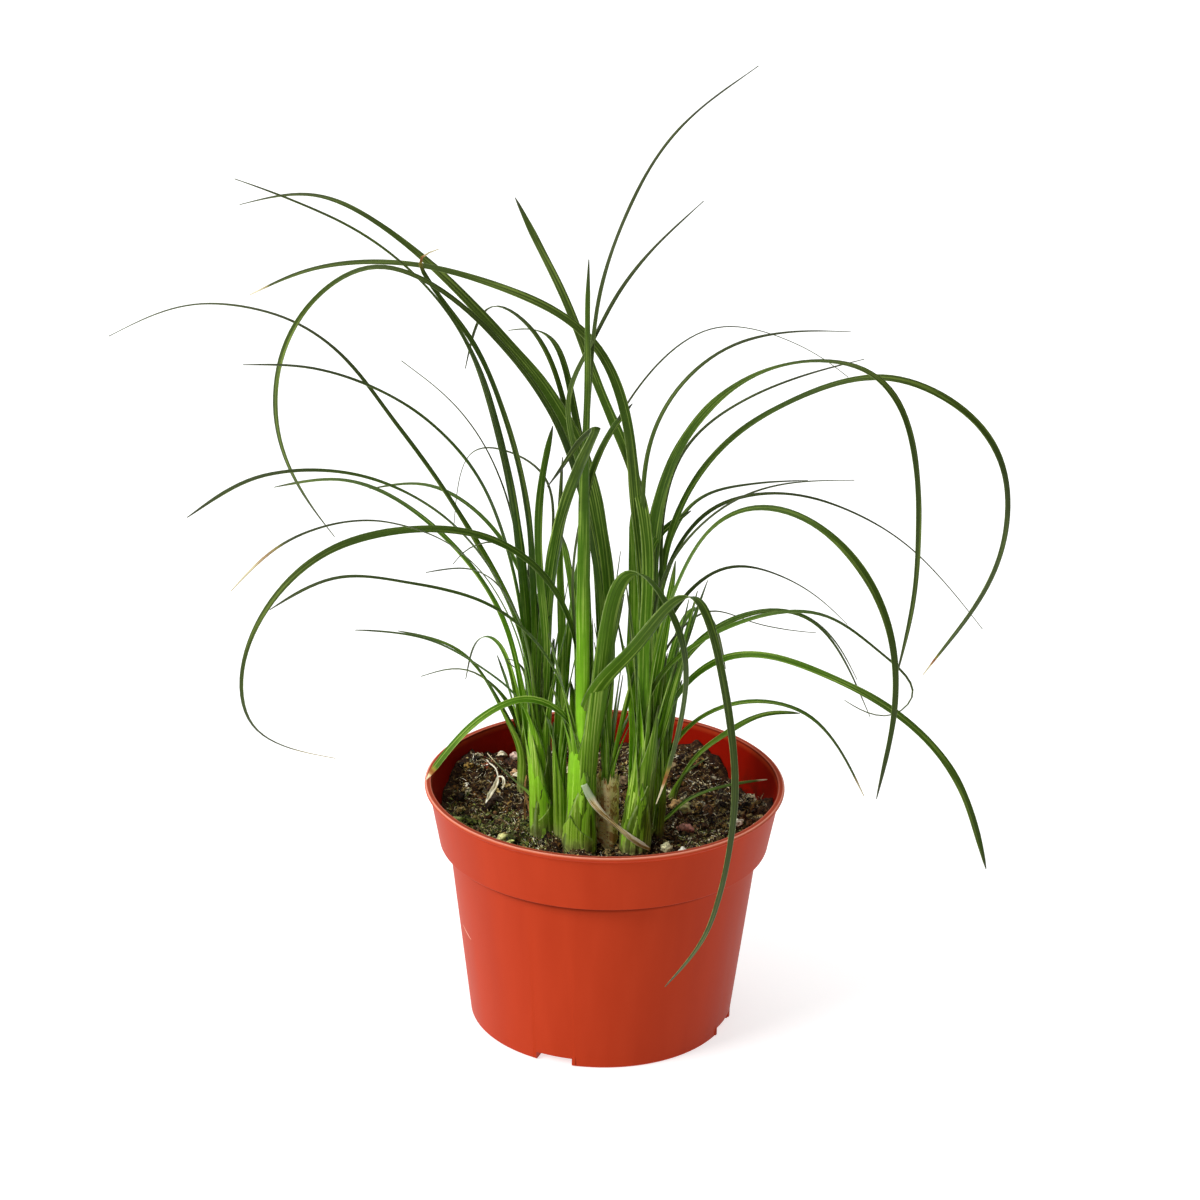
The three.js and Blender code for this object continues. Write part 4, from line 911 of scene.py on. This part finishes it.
def shoot_leaf(shoot, index, tone):
    """One leaf of a shoot, from inside its stem in the soil out to its tip."""
    heading, widths, rolls, through, *rest = shoot["leaves"][index]
    extra = rest[0] if rest else {}
    shoot = {**shoot, **extra.get("sprout", {})}
    first = MIDDLE_PARTING if shoot["name"] == "shoot_middle" else FIRST_PARTING
    parting = extra.get("parting", first + PARTING_STEP * (index % PARTINGS))
    outward = heading_vector(heading)
    nested = (index % PARTINGS + index / len(shoot["leaves"])) / PARTINGS
    wrap = shoot["girth"] * extra.get("wrap", 1 - NEST * nested)
    foot = Vector((*shoot["at"], 0))
    points = [on_stem(shoot, outward, wrap, above) for above in (-STEM_DEPTH, parting * BASE_BEND, parting)]
    sheathed = (points[1] - points[0]).length + (points[2] - points[1]).length
    points += [foot + outward * reach + Vector((0, 0, height)) for reach, height in through]
    return leaf_rail(points, heading_vector(heading + 90), sheathed, wrap, widths, rolls,
                     extra.get("tone", tone), extra.get("dry", 0.0))


def young_leaf(shoot, chance):
    """A short leaf that stands up inside a shoot, between the long ones."""
    heading = chance.uniform(*YOUNG_HEADINGS)
    outward = heading_vector(heading)
    wrap = shoot["girth"] * chance.uniform(*YOUNG_WRAPS)
    tall = chance.uniform(*YOUNG_HEIGHTS) * (0.6 + 0.4 * shoot["girth"] / STOUT)
    reach = wrap + tall * chance.uniform(*YOUNG_REACHES)
    parting = chance.uniform(*YOUNG_PARTINGS)
    points = [on_stem(shoot, outward, wrap, above) for above in (-STEM_DEPTH, parting)]
    sheathed = (points[1] - points[0]).length
    top = stem_axis(shoot, tall) + outward * reach
    top.x += chance.uniform(-YOUNG_SHIFT, YOUNG_SHIFT)
    middle = (points[1] + top) / 2 - outward * (reach - wrap) * YOUNG_BOW
    width = chance.uniform(*YOUNG_WIDTHS) * (0.5 + 0.5 * shoot["girth"] / STOUT)
    return leaf_rail([*points, middle, top], heading_vector(heading + 90), sheathed, wrap,
                     [width * share for share in YOUNG_TAPER],
                     [chance.uniform(-roll, roll) for roll in YOUNG_ROLLS], chance.uniform(*YOUNG_TONES))


def old_base(shoot, heading, tall, tone):
    """A short outer leaf, most of it sheath: it clasps the foot from outside, and its edges run
    slantwise up the stem to its point."""
    outward = heading_vector(heading)
    width = shoot["girth"]
    wrap = width * OLD_BASE_WRAP
    points = [on_stem(shoot, outward, wrap, above) for above in (-STEM_DEPTH, tall * OLD_BASE_BEND, tall)]
    points[2] += outward * (OLD_BASE_LEAN * tall)
    sheathed = (points[1] - points[0]).length
    return leaf_rail(points, heading_vector(heading + 90), sheathed, wrap,
                     [width * share for share in OLD_BASE_TAPER], (0, 0), tone)


def midribs(name, rails):
    """A piece of bare midribs, with what the section needs at each of their points."""
    points, edges = [], []
    for rail in rails:
        edges += [(k, k + 1) for k in range(len(points), len(points) + len(rail) - 1)]
        points += rail
    made = mesh_object(name, [point[0] for point in points], edges)
    for column, label in enumerate(("side", "face"), 1):
        layer = made.data.attributes.new(label, "FLOAT_VECTOR", "POINT")
        layer.data.foreach_set("vector", [c for point in points for c in point[column]])
    for label in ("half_width", "curl", "rise", "tone", "dry"):
        layer = made.data.attributes.new(label, "FLOAT", "POINT")
        layer.data.foreach_set("value", [point[3][label] for point in points])
    return made


def leaf_blades():
    """A tree that sweeps a leaf's section along each midrib: rolled round the stem at its base, a
    shallow channel further up. `side` and `face` say which way the section lies at each point."""
    tree, given = new_tree("Leaf blades", ("Thickness",), ("Section points",))
    half_width, curl, across, depth, side, face, midrib = [
        add(tree, "GeometryNodeInputNamedAttribute", {"Name": label}, data_type=kind)
        for kind, labels in (("FLOAT", ("half_width", "curl", "across", "depth")),
                             ("FLOAT_VECTOR", ("side", "face", "midrib"))) for label in labels]
    place = add(tree, "GeometryNodeInputPosition")
    rails = add(tree, "GeometryNodeStoreNamedAttribute", {
        "Geometry": given["Geometry"], "Name": "midrib", "Value": place},
        data_type="FLOAT_VECTOR", domain="POINT")
    ribs = add(tree, "GeometryNodeMeshToCurve", {"Mesh": rails})
    section = add(tree, "GeometryNodeCurvePrimitiveCircle", {
        "Resolution": given["Section points"], "Radius": 1.0}, mode="RADIUS")
    for label, axis in (("across", "X"), ("depth", "Y")):
        section = add(tree, "GeometryNodeStoreNamedAttribute", {
            "Geometry": section, "Name": label, "Value": add(tree, "SeparateXYZ", (place,), out=axis)},
            data_type="FLOAT", domain="POINT")
    skin = add(tree, "GeometryNodeCurveToMesh", {
        "Curve": ribs, "Profile Curve": section, "Fill Caps": True})

    angle = add(tree, "Math", (across, curl), operation="MULTIPLY")
    radius = add(tree, "Math", (half_width, curl), operation="DIVIDE")
    sine = add(tree, "Math", (angle,), operation="SINE")
    cosine = add(tree, "Math", (angle,), operation="COSINE")
    # The section is a lens: it thins to its edges, and toward the tip of the leaf
    slim = add(tree, "MapRange", (half_width, 0.0, 0.0012, 0.5, 1.0))
    half = add(tree, "Math", (given["Thickness"], 0.5), operation="MULTIPLY")
    thick = add(tree, "Math", (half, slim), operation="MULTIPLY")
    lift = add(tree, "Math", (depth, thick), operation="MULTIPLY")
    arm = add(tree, "Math", (radius, lift), operation="SUBTRACT")
    out = add(tree, "Math", (sine, arm), operation="MULTIPLY")
    fall = add(tree, "Math", (1.0, cosine), operation="SUBTRACT")
    dip = add(tree, "Math", (radius, fall), operation="MULTIPLY")
    lifted = add(tree, "Math", (lift, cosine), operation="MULTIPLY")
    up = add(tree, "Math", (dip, lifted), operation="ADD")
    sideways = add(tree, "VectorMath", (side, out), operation="SCALE")
    facewise = add(tree, "VectorMath", (face, up), operation="SCALE")
    offset = add(tree, "VectorMath", (sideways, facewise), operation="ADD")
    point = add(tree, "VectorMath", (midrib, offset), operation="ADD")
    shaped = add(tree, "GeometryNodeSetPosition", {"Geometry": skin, "Position": point})
    for label in ("side", "face", "midrib", "curl", "depth"):
        shaped = add(tree, "GeometryNodeRemoveAttribute", {"Geometry": shaped, "Name": label})
    smooth = add(tree, "GeometryNodeSetShadeSmooth", {"Geometry": shaped, "Shade Smooth": True})
    return end_tree(tree, smooth, given["Material"])


def leaf_tissue():
    """Fresh monocot leaf: a waxy satin skin over fine lengthwise veins. It is pale where it comes
    out of the soil, bright yellow-green up its sheath, and dulls to olive along the blade. Narrow
    old leaves are grey-green; margins are pale; a dead tip dries to tan and then to white."""
    material, tree, shader = new_material("leaf_fresh_waxy", {
        "IOR": 1.42, "Specular IOR Level": 0.26, "Specular Tint": colour("#C8DCA0")})
    across, rise, tone, half, dry = [
        add(tree, "Attribute", out="Fac", attribute_name=label)
        for label in ("across", "rise", "tone", "half_width", "dry")]
    sideways = add(tree, "Math", (across, half), operation="MULTIPLY")
    # Veins lie 0.35 mm apart; they are drawn 0.6 mm apart so that they show, and run 45 mm. Duller
    # stretches of a blade are some 70 mm long
    veins, stretches = [
        add(tree, "TexNoise", (add(tree, "CombineXYZ", tuple(
            add(tree, "Math", pair, operation="MULTIPLY") for pair in pairs)), 1.0, detail))
        for pairs, detail in ((((sideways, 1700.0), (rise, 22.0), (tone, 90.0)), 4.0),
                              (((rise, 14.0), (tone, 60.0)), 2.0))]
    blots = add(tree, "TexNoise", (add(tree, "TexCoord", out="Object"), 330.0, 3.0))
    margin = add(tree, "Math", (across,), operation="ABSOLUTE")
    length_up = add(tree, "Math", (rise, 4.0), operation="MULTIPLY")
    body = add(tree, "ValToRGB", (length_up,), stops=(
        (0.0, "#C3C878"), (1.0, "#40501E"), (0.03, "#9AC836"), (0.14, "#78AE18"), (0.3, "#5E9410"),
        (0.6, "#44681A")))
    for code, *spans in (
            # Painted highlights on the streaks between the veins and painted shade in the furrows, partly the
            # leaf's own pale and dark lines; both strongest near the foot
            ("#D2F272", (veins, 0.52, 0.66, 0.0, 0.95), (rise, 0.03, 0.2, 1.0, 0.34)),
            ("#2F5603", (veins, 0.47, 0.36, 0.0, 0.8), (rise, 0.03, 0.2, 1.0, 0.34)),
            # The youngest bases are brightest
            ("#A2EA30", (tone, 0.0, -0.5, 0.0, 0.8), (rise, 0.05, 0.12, 1.0, 0.08)),
            # The duller stretches show more toward the tip
            ("#33401A", (stretches, 0.42, 0.6, 0.0, 0.6), (rise, 0.06, 0.22, 0.0, 1.0)),
            # Age, and a narrow blade
            ("#34420F", (tone, 0.0, 1.0, 0.0, 0.75)),
            ("#45443A", (half, 0.0012, 0.0005, 0.0, 0.7)),
            # The surface is slightly mottled, in blots about 3 mm across
            ("#24330A", (blots, 0.35, 0.7, 0.14, 0.0)),
            # The margins are pale and finely toothed: they show as a broken line
            ("#B9CC86", (blots, 0.4, 0.55, 0.2, 0.5), (margin, 0.88, 0.97, 0.0, 1.0)),
            # Soil has splashed the first few millimetres
            ("#3B2C18", (rise, 0.006, 0.001, 0.0, 0.8), (blots, 0.42, 0.6, 0.0, 1.0))):
        share, *others = [add(tree, "MapRange", span) for span in spans]
        for other in others:
            share = add(tree, "Math", (share, other), operation="MULTIPLY")
        body = add(tree, "Mix", (share, body, colour(code)), data_type="RGBA")
    brown = add(tree, "ValToRGB", (dry,), stops=(
        (0.0, "#6E7A2A"), (0.9, "#F0E6C4"), (0.15, "#9A8A34"), (0.32, "#8E5426"), (0.48, "#B07A44"),
        (0.6, "#E2D2A0")))
    # A narrow tip bleaches without turning brown
    paler = add(tree, "MapRange", (dry, 0.0, 0.6))
    bleached = add(tree, "Mix", (paler, colour("#7A7444"), colour("#D8CCA8")), data_type="RGBA")
    wide = add(tree, "MapRange", (half, 0.0005, 0.0008))
    tip = add(tree, "Mix", (wide, bleached, brown), data_type="RGBA")
    dead = add(tree, "MapRange", (dry, 0.0, 0.2))
    connect(shader, {
        "Base Color": add(tree, "Mix", (dead, body, tip), data_type="RGBA"),
        "Roughness": add(tree, "MapRange", (veins, 0.3, 0.7, 0.4, 0.55)),
        "Normal": add(tree, "Bump", {"Height": veins, "Strength": 0.5, "Distance": 0.0003})})
    return material


BLADES, BLADE = leaf_blades(), {
    "Thickness": BLADE_THICK, "Section points": SECTION_POINTS, "Material": leaf_tissue()}
chance = random.Random(7)
noise.seed_set(7)  # else the leaves would stray differently each time
for shoot in SHOOTS:
    name = shoot["name"]
    rails = [shoot_leaf(shoot, index, chance.random() * 0.6) for index in range(len(shoot["leaves"]))]
    rails += [old_base(shoot, *base) for base in OLD_BASES.get(name, ())]
    rails += [young_leaf(shoot, chance) for _ in range(YOUNG_LEAVES[name])]
    plant = grow(midribs(name + "_leaves", rails), BLADES, BLADE)
    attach(plant, "root")
    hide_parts(name)

# ------------------------------------------------------------------------------------------------
# The papery sheath: the dead outer leaf base of the middle shoot, dried brown and torn along its
# top, still standing round the young leaves inside it.
# ------------------------------------------------------------------------------------------------
PAPER_RADIUS, PAPER_TALL, PAPER_DEEP, PAPER_THICK = 0.0049, 0.034, 0.006, 0.00025
PAPER_OPEN = 0.7  # radians left open at the back
PAPER_COLUMNS, PAPER_ROWS = 96, 40
PAPER_TORN, PAPER_CRUMPLE, PAPER_FLARE = 0.4, 0.0006, 0.0009  # how deep it is torn, dented and flared


def dead_leaf(name, pale, middle, dark):
    """Dried leaf: papery and matt, streaked lengthwise where its veins stand out, with paler flakes
    and brown blotches."""
    material, tree, shader = new_material(name, {"Roughness": 0.8, "Specular IOR Level": 0.25})
    place = add(tree, "Attribute", out="Vector", attribute_name="lay")
    # Veins 0.6 mm apart run its whole length; blotches are about 5 mm across
    lengthwise = add(tree, "Mapping", {"Vector": place, "Scale": (1500, 60, 1)})
    veins = add(tree, "TexNoise", (lengthwise, 1.0, 3.0))
    body = add(tree, "ValToRGB", (veins,), stops=((0.26, dark), (0.58, pale), (0.44, middle)))
    blots = add(tree, "TexNoise", (place, 190.0, 4.0))
    blotted = add(tree, "MapRange", (blots, 0.5, 0.58, 0.0, 0.8))
    connect(shader, {
        "Base Color": add(tree, "Mix", (blotted, body, colour(dark)), data_type="RGBA"),
        "Normal": add(tree, "Bump", {"Height": veins, "Strength": 0.4, "Distance": 0.0004})})
    return material


def thin_sheet(name, rows, thick, material):
    """A sheet from rows of points, with its thickness, and `lay`: its flat coordinates in metres."""
    shape = bmesh.new()
    lay = shape.verts.layers.float_vector.new("lay")
    grid = []
    for row in rows:
        line, gone = [], 0
        for k, point in enumerate(row):
            gone += (point - row[k - 1]).length if k else 0
            vertex = shape.verts.new(point)
            vertex[lay] = (gone, point.z, 0)
            line.append(vertex)
        grid.append(line)
    for low, high in zip(grid, grid[1:]):
        for k in range(len(low) - 1):
            shape.faces.new((low[k], low[k + 1], high[k + 1], high[k]))
    bmesh.ops.recalc_face_normals(shape, faces=shape.faces)
    bmesh.ops.solidify(shape, geom=shape.faces[:], thickness=thick)
    # That lists the faces in another order each time, so they are put in order by their corners
    shape.verts.index_update()
    corners = len(shape.verts)
    shape.faces.sort(key=lambda face: min(v.index for v in face.verts) * corners
                     + max(v.index for v in face.verts))
    for face in shape.faces:
        face.smooth = True
    made = mesh_object(name)
    shape.to_mesh(made.data)
    shape.free()
    made.data.materials.append(material)
    return made


middle_shoot = next(shoot for shoot in SHOOTS if shoot["name"] == "shoot_middle")
rows = []
for r in range(PAPER_ROWS + 1):
    row = []
    for c in range(PAPER_COLUMNS + 1):
        turn = math.radians(90) + PAPER_OPEN / 2 + (2 * math.pi - PAPER_OPEN) * c / PAPER_COLUMNS
        torn = (0.5 + 0.5 * noise.noise(Vector((turn * 2.1, 4.2, 0)))
                + 0.3 * noise.noise(Vector((turn * 9, 1.7, 0))))
        tall = PAPER_TALL * (1 - PAPER_TORN * torn)
        above = -PAPER_DEEP + (tall + PAPER_DEEP) * r / PAPER_ROWS
        crumple = noise.noise(Vector((turn * 1.6, above * 140, 2.0)))
        flare = PAPER_FLARE * (above / PAPER_TALL) ** 2 * math.sin(turn * 3)
        radius = PAPER_RADIUS + PAPER_CRUMPLE * crumple + flare
        centre = stem_axis(middle_shoot, above)
        row.append(Vector((centre.x + radius * math.cos(turn), centre.y + radius * math.sin(turn), centre.z)))
    rows.append(row)
sheath = thin_sheet("papery_leaf_base", rows, PAPER_THICK, dead_leaf(
    "leaf_base_papery", "#FFF2BC", "#FFE096", "#A8682A"))
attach(sheath, "root")
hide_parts("papery_sheath")

# ------------------------------------------------------------------------------------------------
# The dry leaf: a whole dead leaf, rolled at its edges, that leans from the front shoot to the rim.
# Its torn top is still pale green.
# ------------------------------------------------------------------------------------------------
DRY_PATH = ((-0.0085, -0.047, 0.126), (-0.0035, -0.046, 0.116), (0.0045, -0.045, 0.107),
            (0.0125, -0.0445, 0.1), (0.019, -0.043, 0.095))
DRY_WIDTH, DRY_THICK, DRY_ROLLED, DRY_RAGGED = 0.0029, 0.00022, 0.0005, 0.0002
DRY_ROWS, DRY_COLUMNS = 60, 10
DRY_SIDE = Vector((0.4, 0, 0.9))  # the way its width lies at its top
DRY_TWIST = 20  # degrees from end to end
DRY_GLANCE, FLAKE_GLANCE = 0.01, 0.02  # share to either side, between which a direction is taken


def leaf_strip(points, rows, columns, glance, strip_point, *own):
    """Rows of points across a strip of leaf along a curve, and the curve's length. Each point is what
    `strip_point` makes of the share gone, the middle, the direction, the place across (-1 to 1), and
    the strip's own values."""
    path, length = smooth_path([Vector(point) for point in points])
    strip = []
    for r in range(rows + 1):
        share = r / rows
        along = (path(min(1, share + glance)) - path(max(0, share - glance))).normalized()
        strip.append([
            strip_point(share, path(share), along, 2 * c / columns - 1, *own) for c in range(columns + 1)])
    return strip, length


def dry_leaf_point(share, middle, along, across):
    """The dry leaf swells and narrows along its length, and its edges curl under."""
    side = (DRY_SIDE - along * DRY_SIDE.dot(along)).normalized()
    side.rotate(Quaternion(along, math.radians(DRY_TWIST * share)))
    wide = DRY_WIDTH * (0.9 + 0.25 * math.sin(share * 9)) * min(1, 0.55 + (1 - share) * 4)
    rolled = DRY_ROLLED * abs(across) ** 3
    ragged = DRY_RAGGED * noise.noise(Vector((share * 25, across * 3, 0)))
    return middle + side * (across * wide / 2) - along.cross(side) * (rolled + ragged)


def dry_leaf_tissue():
    """Dried leaf blade: a brown streaked middle between rolled cream edges, and a torn end that is
    still greenish white. The colours follow the blade's own length and width."""
    material, tree, shader = new_material("leaf_blade_dried", {"Roughness": 0.75, "Specular IOR Level": 0.3})
    lay = add(tree, "Attribute", out="Vector", attribute_name="lay")
    across, _, gone = add(tree, "SeparateXYZ", (lay,)).node.outputs
    # Veins 0.4 mm apart run its whole length
    lengthwise = add(tree, "Mapping", {"Vector": lay, "Scale": (2600, 120, 1)})
    veins = add(tree, "TexNoise", (lengthwise, 1.0, 3.0))
    brown = add(tree, "ValToRGB", (veins,), stops=((0.42, "#96702A"), (0.58, "#FFEDAC")))
    off_middle = add(tree, "Math", (across, DRY_WIDTH / 2), operation="SUBTRACT")
    distance = add(tree, "Math", (off_middle,), operation="ABSOLUTE")
    rim = add(tree, "MapRange", (distance, 0.0008, 0.00095))
    edged = add(tree, "Mix", (rim, brown, colour("#FBF0CC")), data_type="RGBA")
    green = add(tree, "MapRange", (gone, 0.009, 0.006))
    connect(shader, {
        "Base Color": add(tree, "Mix", (green, edged, colour("#B9CBA0")), data_type="RGBA"),
        "Normal": add(tree, "Bump", {"Height": veins, "Strength": 0.7, "Distance": 0.0004})})
    return material


rows, length = leaf_strip(DRY_PATH, DRY_ROWS, DRY_COLUMNS, DRY_GLANCE, dry_leaf_point)
dry = thin_sheet("dried_leaf", rows, DRY_THICK, dry_leaf_tissue())
corners = (DRY_ROWS + 1) * (DRY_COLUMNS + 1)
for k, item in enumerate(dry.data.attributes["lay"].data):
    item.vector.z = (k % corners) // (DRY_COLUMNS + 1) * length / DRY_ROWS
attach(dry, "root")
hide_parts("dry_leaf")

# ------------------------------------------------------------------------------------------------
# Loose bits: a hair-thin leaf and a short side blade that lie over the soil, and the curled white
# flakes of an old leaf base.
# ------------------------------------------------------------------------------------------------
STRAY_LEAVES = (
    # points that it passes through, width, tone, how much of its tip is dry
    (((-0.0215, -0.0155, 0.092), (-0.026, -0.008, 0.0975), (-0.0365, 0.0085, 0.1005),
      (-0.051, 0.04, 0.1005)), 0.0011, 0.8, 0.2),
    (((0.0265, 0.013, 0.09), (0.03, 0.0128, 0.099), (0.036, 0.0126, 0.1065),
      (0.044, 0.0125, 0.1125)), 0.0017, 0.6, 0.06),
)
STRAY_ROLL = 30  # degrees
FLAKES = (
    # points along its middle, width
    (((-0.0505, 0.0015, 0.0945), (-0.0487, 0.0062, 0.0965), (-0.0465, 0.0125, 0.0985),
      (-0.0458, 0.017, 0.1)), 0.0019),
    (((-0.0458, 0.017, 0.1), (-0.0443, 0.0165, 0.1), (-0.0432, 0.014, 0.0985),
      (-0.0438, 0.0112, 0.097)), 0.0011),
    (((-0.0515, 0.0345, 0.1), (-0.0497, 0.029, 0.1005), (-0.047, 0.0225, 0.101),
      (-0.0458, 0.017, 0.1)), 0.0005),
    (((-0.04, 0.026, 0.096), (-0.0385, 0.0245, 0.0975), (-0.036, 0.024, 0.0965)), 0.0022),
    (((-0.0475, 0.046, 0.096), (-0.0455, 0.044, 0.0985), (-0.043, 0.045, 0.0975)), 0.0024),
    (((-0.031, -0.006, 0.09), (-0.0325, 0.0, 0.0945), (-0.034, 0.006, 0.098),
      (-0.0335, 0.012, 0.103)), 0.001),
    (((-0.0325, -0.0125, 0.09), (-0.0335, -0.0095, 0.0955), (-0.0335, -0.0085, 0.1015)), 0.0011),
)
BROWN_FROM = 5  # the last flakes, against the left shoot, are brown
FLAKE_THICK, FLAKE_ROWS, FLAKE_COLUMNS = 0.0002, 24, 6
FLAKE_SIDE = Vector((0.2, -0.5, 0.85))


def flake_point(share, middle, along, across, width, count):
    """A flake is rounded at both ends, dished, and crumpled in its own way."""
    side = along.cross(FLAKE_SIDE).normalized()
    wide = width * math.sqrt(max(0.1, math.sin(math.pi * min(0.97, max(0.03, share)))))
    wave = 0.3 * noise.noise(Vector((share * 6, across * 2, count)))
    return middle + side * (across * wide / 2) + side.cross(along) * (wide * (0.25 * across ** 2 + wave))


rails = []
for points, width, tone, dry_tip in STRAY_LEAVES:
    line = [Vector(point) for point in points]
    level = (line[-1] - line[0]).cross(Vector((0, 0, 1))).normalized()
    rails.append(leaf_rail(line, level, 0.0, width, (width, width, width * 0.6),
                           (STRAY_ROLL, STRAY_ROLL), tone, dry_tip, 0.0))
strays = grow(midribs("stray_leaves", rails), BLADES, BLADE)
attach(strays, "root")

HUSKS = (dead_leaf("leaf_base_bleached", "#FFFBEC", "#EBE1C2", "#B9A67C"),
         dead_leaf("leaf_strip_dried", "#C49A60", "#8A5E30", "#4A2E14"))
for count, (points, width) in enumerate(FLAKES):
    rows, _ = leaf_strip(points, FLAKE_ROWS, FLAKE_COLUMNS, FLAKE_GLANCE, flake_point, width, count)
    flake = thin_sheet("husk_flake_%d" % (count + 1), rows, FLAKE_THICK, HUSKS[count >= BROWN_FROM])
    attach(flake, "root")

# ------------------------------------------------------------------------------------------------
# The floor, the light and the camera: a white sweep under soft light from the front left.
# ------------------------------------------------------------------------------------------------
FLOOR_REACH = 20.0  # far enough that low views see no end to it
CAMERA_PLACE = (-0.00342, -1.15865, 0.63523)
CAMERA_DOWN, CAMERA_ROLL = 21.08, 1.06  # degrees below level, and turned


def soft_light(name, heading, height, strength, spread):
    """Light from far off: it comes from a heading and a height, in degrees."""
    lamp = bpy.data.lights.new(name, "SUN")
    lamp.energy = strength
    lamp.angle = math.radians(spread)
    made = bpy.data.objects.new(name, lamp)
    out = heading_vector(heading) * math.cos(math.radians(height))
    out.z = math.sin(math.radians(height))
    made.rotation_euler = out.to_track_quat("Z", "Y").to_euler()
    bpy.context.scene.collection.objects.link(made)


floor = mesh_object("floor", [
    (x * FLOOR_REACH, y * FLOOR_REACH, 0) for x, y in ((-1, -1), (1, -1), (1, 1), (-1, 1))],
    faces=[(0, 1, 2, 3)])
# A matt white paper sweep, lit evenly enough that it shows no shade of its own
floor.data.materials.append(new_material("paper_white_sweep", {
    "Base Color": colour("#BDBDBD"), "Roughness": 0.95, "Emission Color": colour("#FFFFFF"),
    "Emission Strength": 0.72})[0])

world = bpy.data.worlds.new("studio")
world.use_nodes = True
connect(world.node_tree.nodes["Background"], {"Color": colour("#FFFFFF"), "Strength": 0.1})
bpy.context.scene.world = world
soft_light("key_light", 210, 38, 2.5, 25)
soft_light("top_light", 120, 70, 1.8, 70)

lens = bpy.data.cameras.new("photo_camera")
lens.lens = 90
lens.sensor_width = lens.sensor_height = 36
lens.clip_start, lens.clip_end = 0.05, 20
camera = bpy.data.objects.new("photo_camera", lens)
camera.location = CAMERA_PLACE
camera.rotation_mode = "QUATERNION"
tilt = Quaternion((1, 0, 0), math.radians(90 - CAMERA_DOWN))
camera.rotation_quaternion = tilt @ Quaternion((0, 0, 1), math.radians(CAMERA_ROLL))
bpy.context.scene.collection.objects.link(camera)
bpy.context.scene.camera = camera
bpy.context.scene.view_settings.view_transform = "Standard"
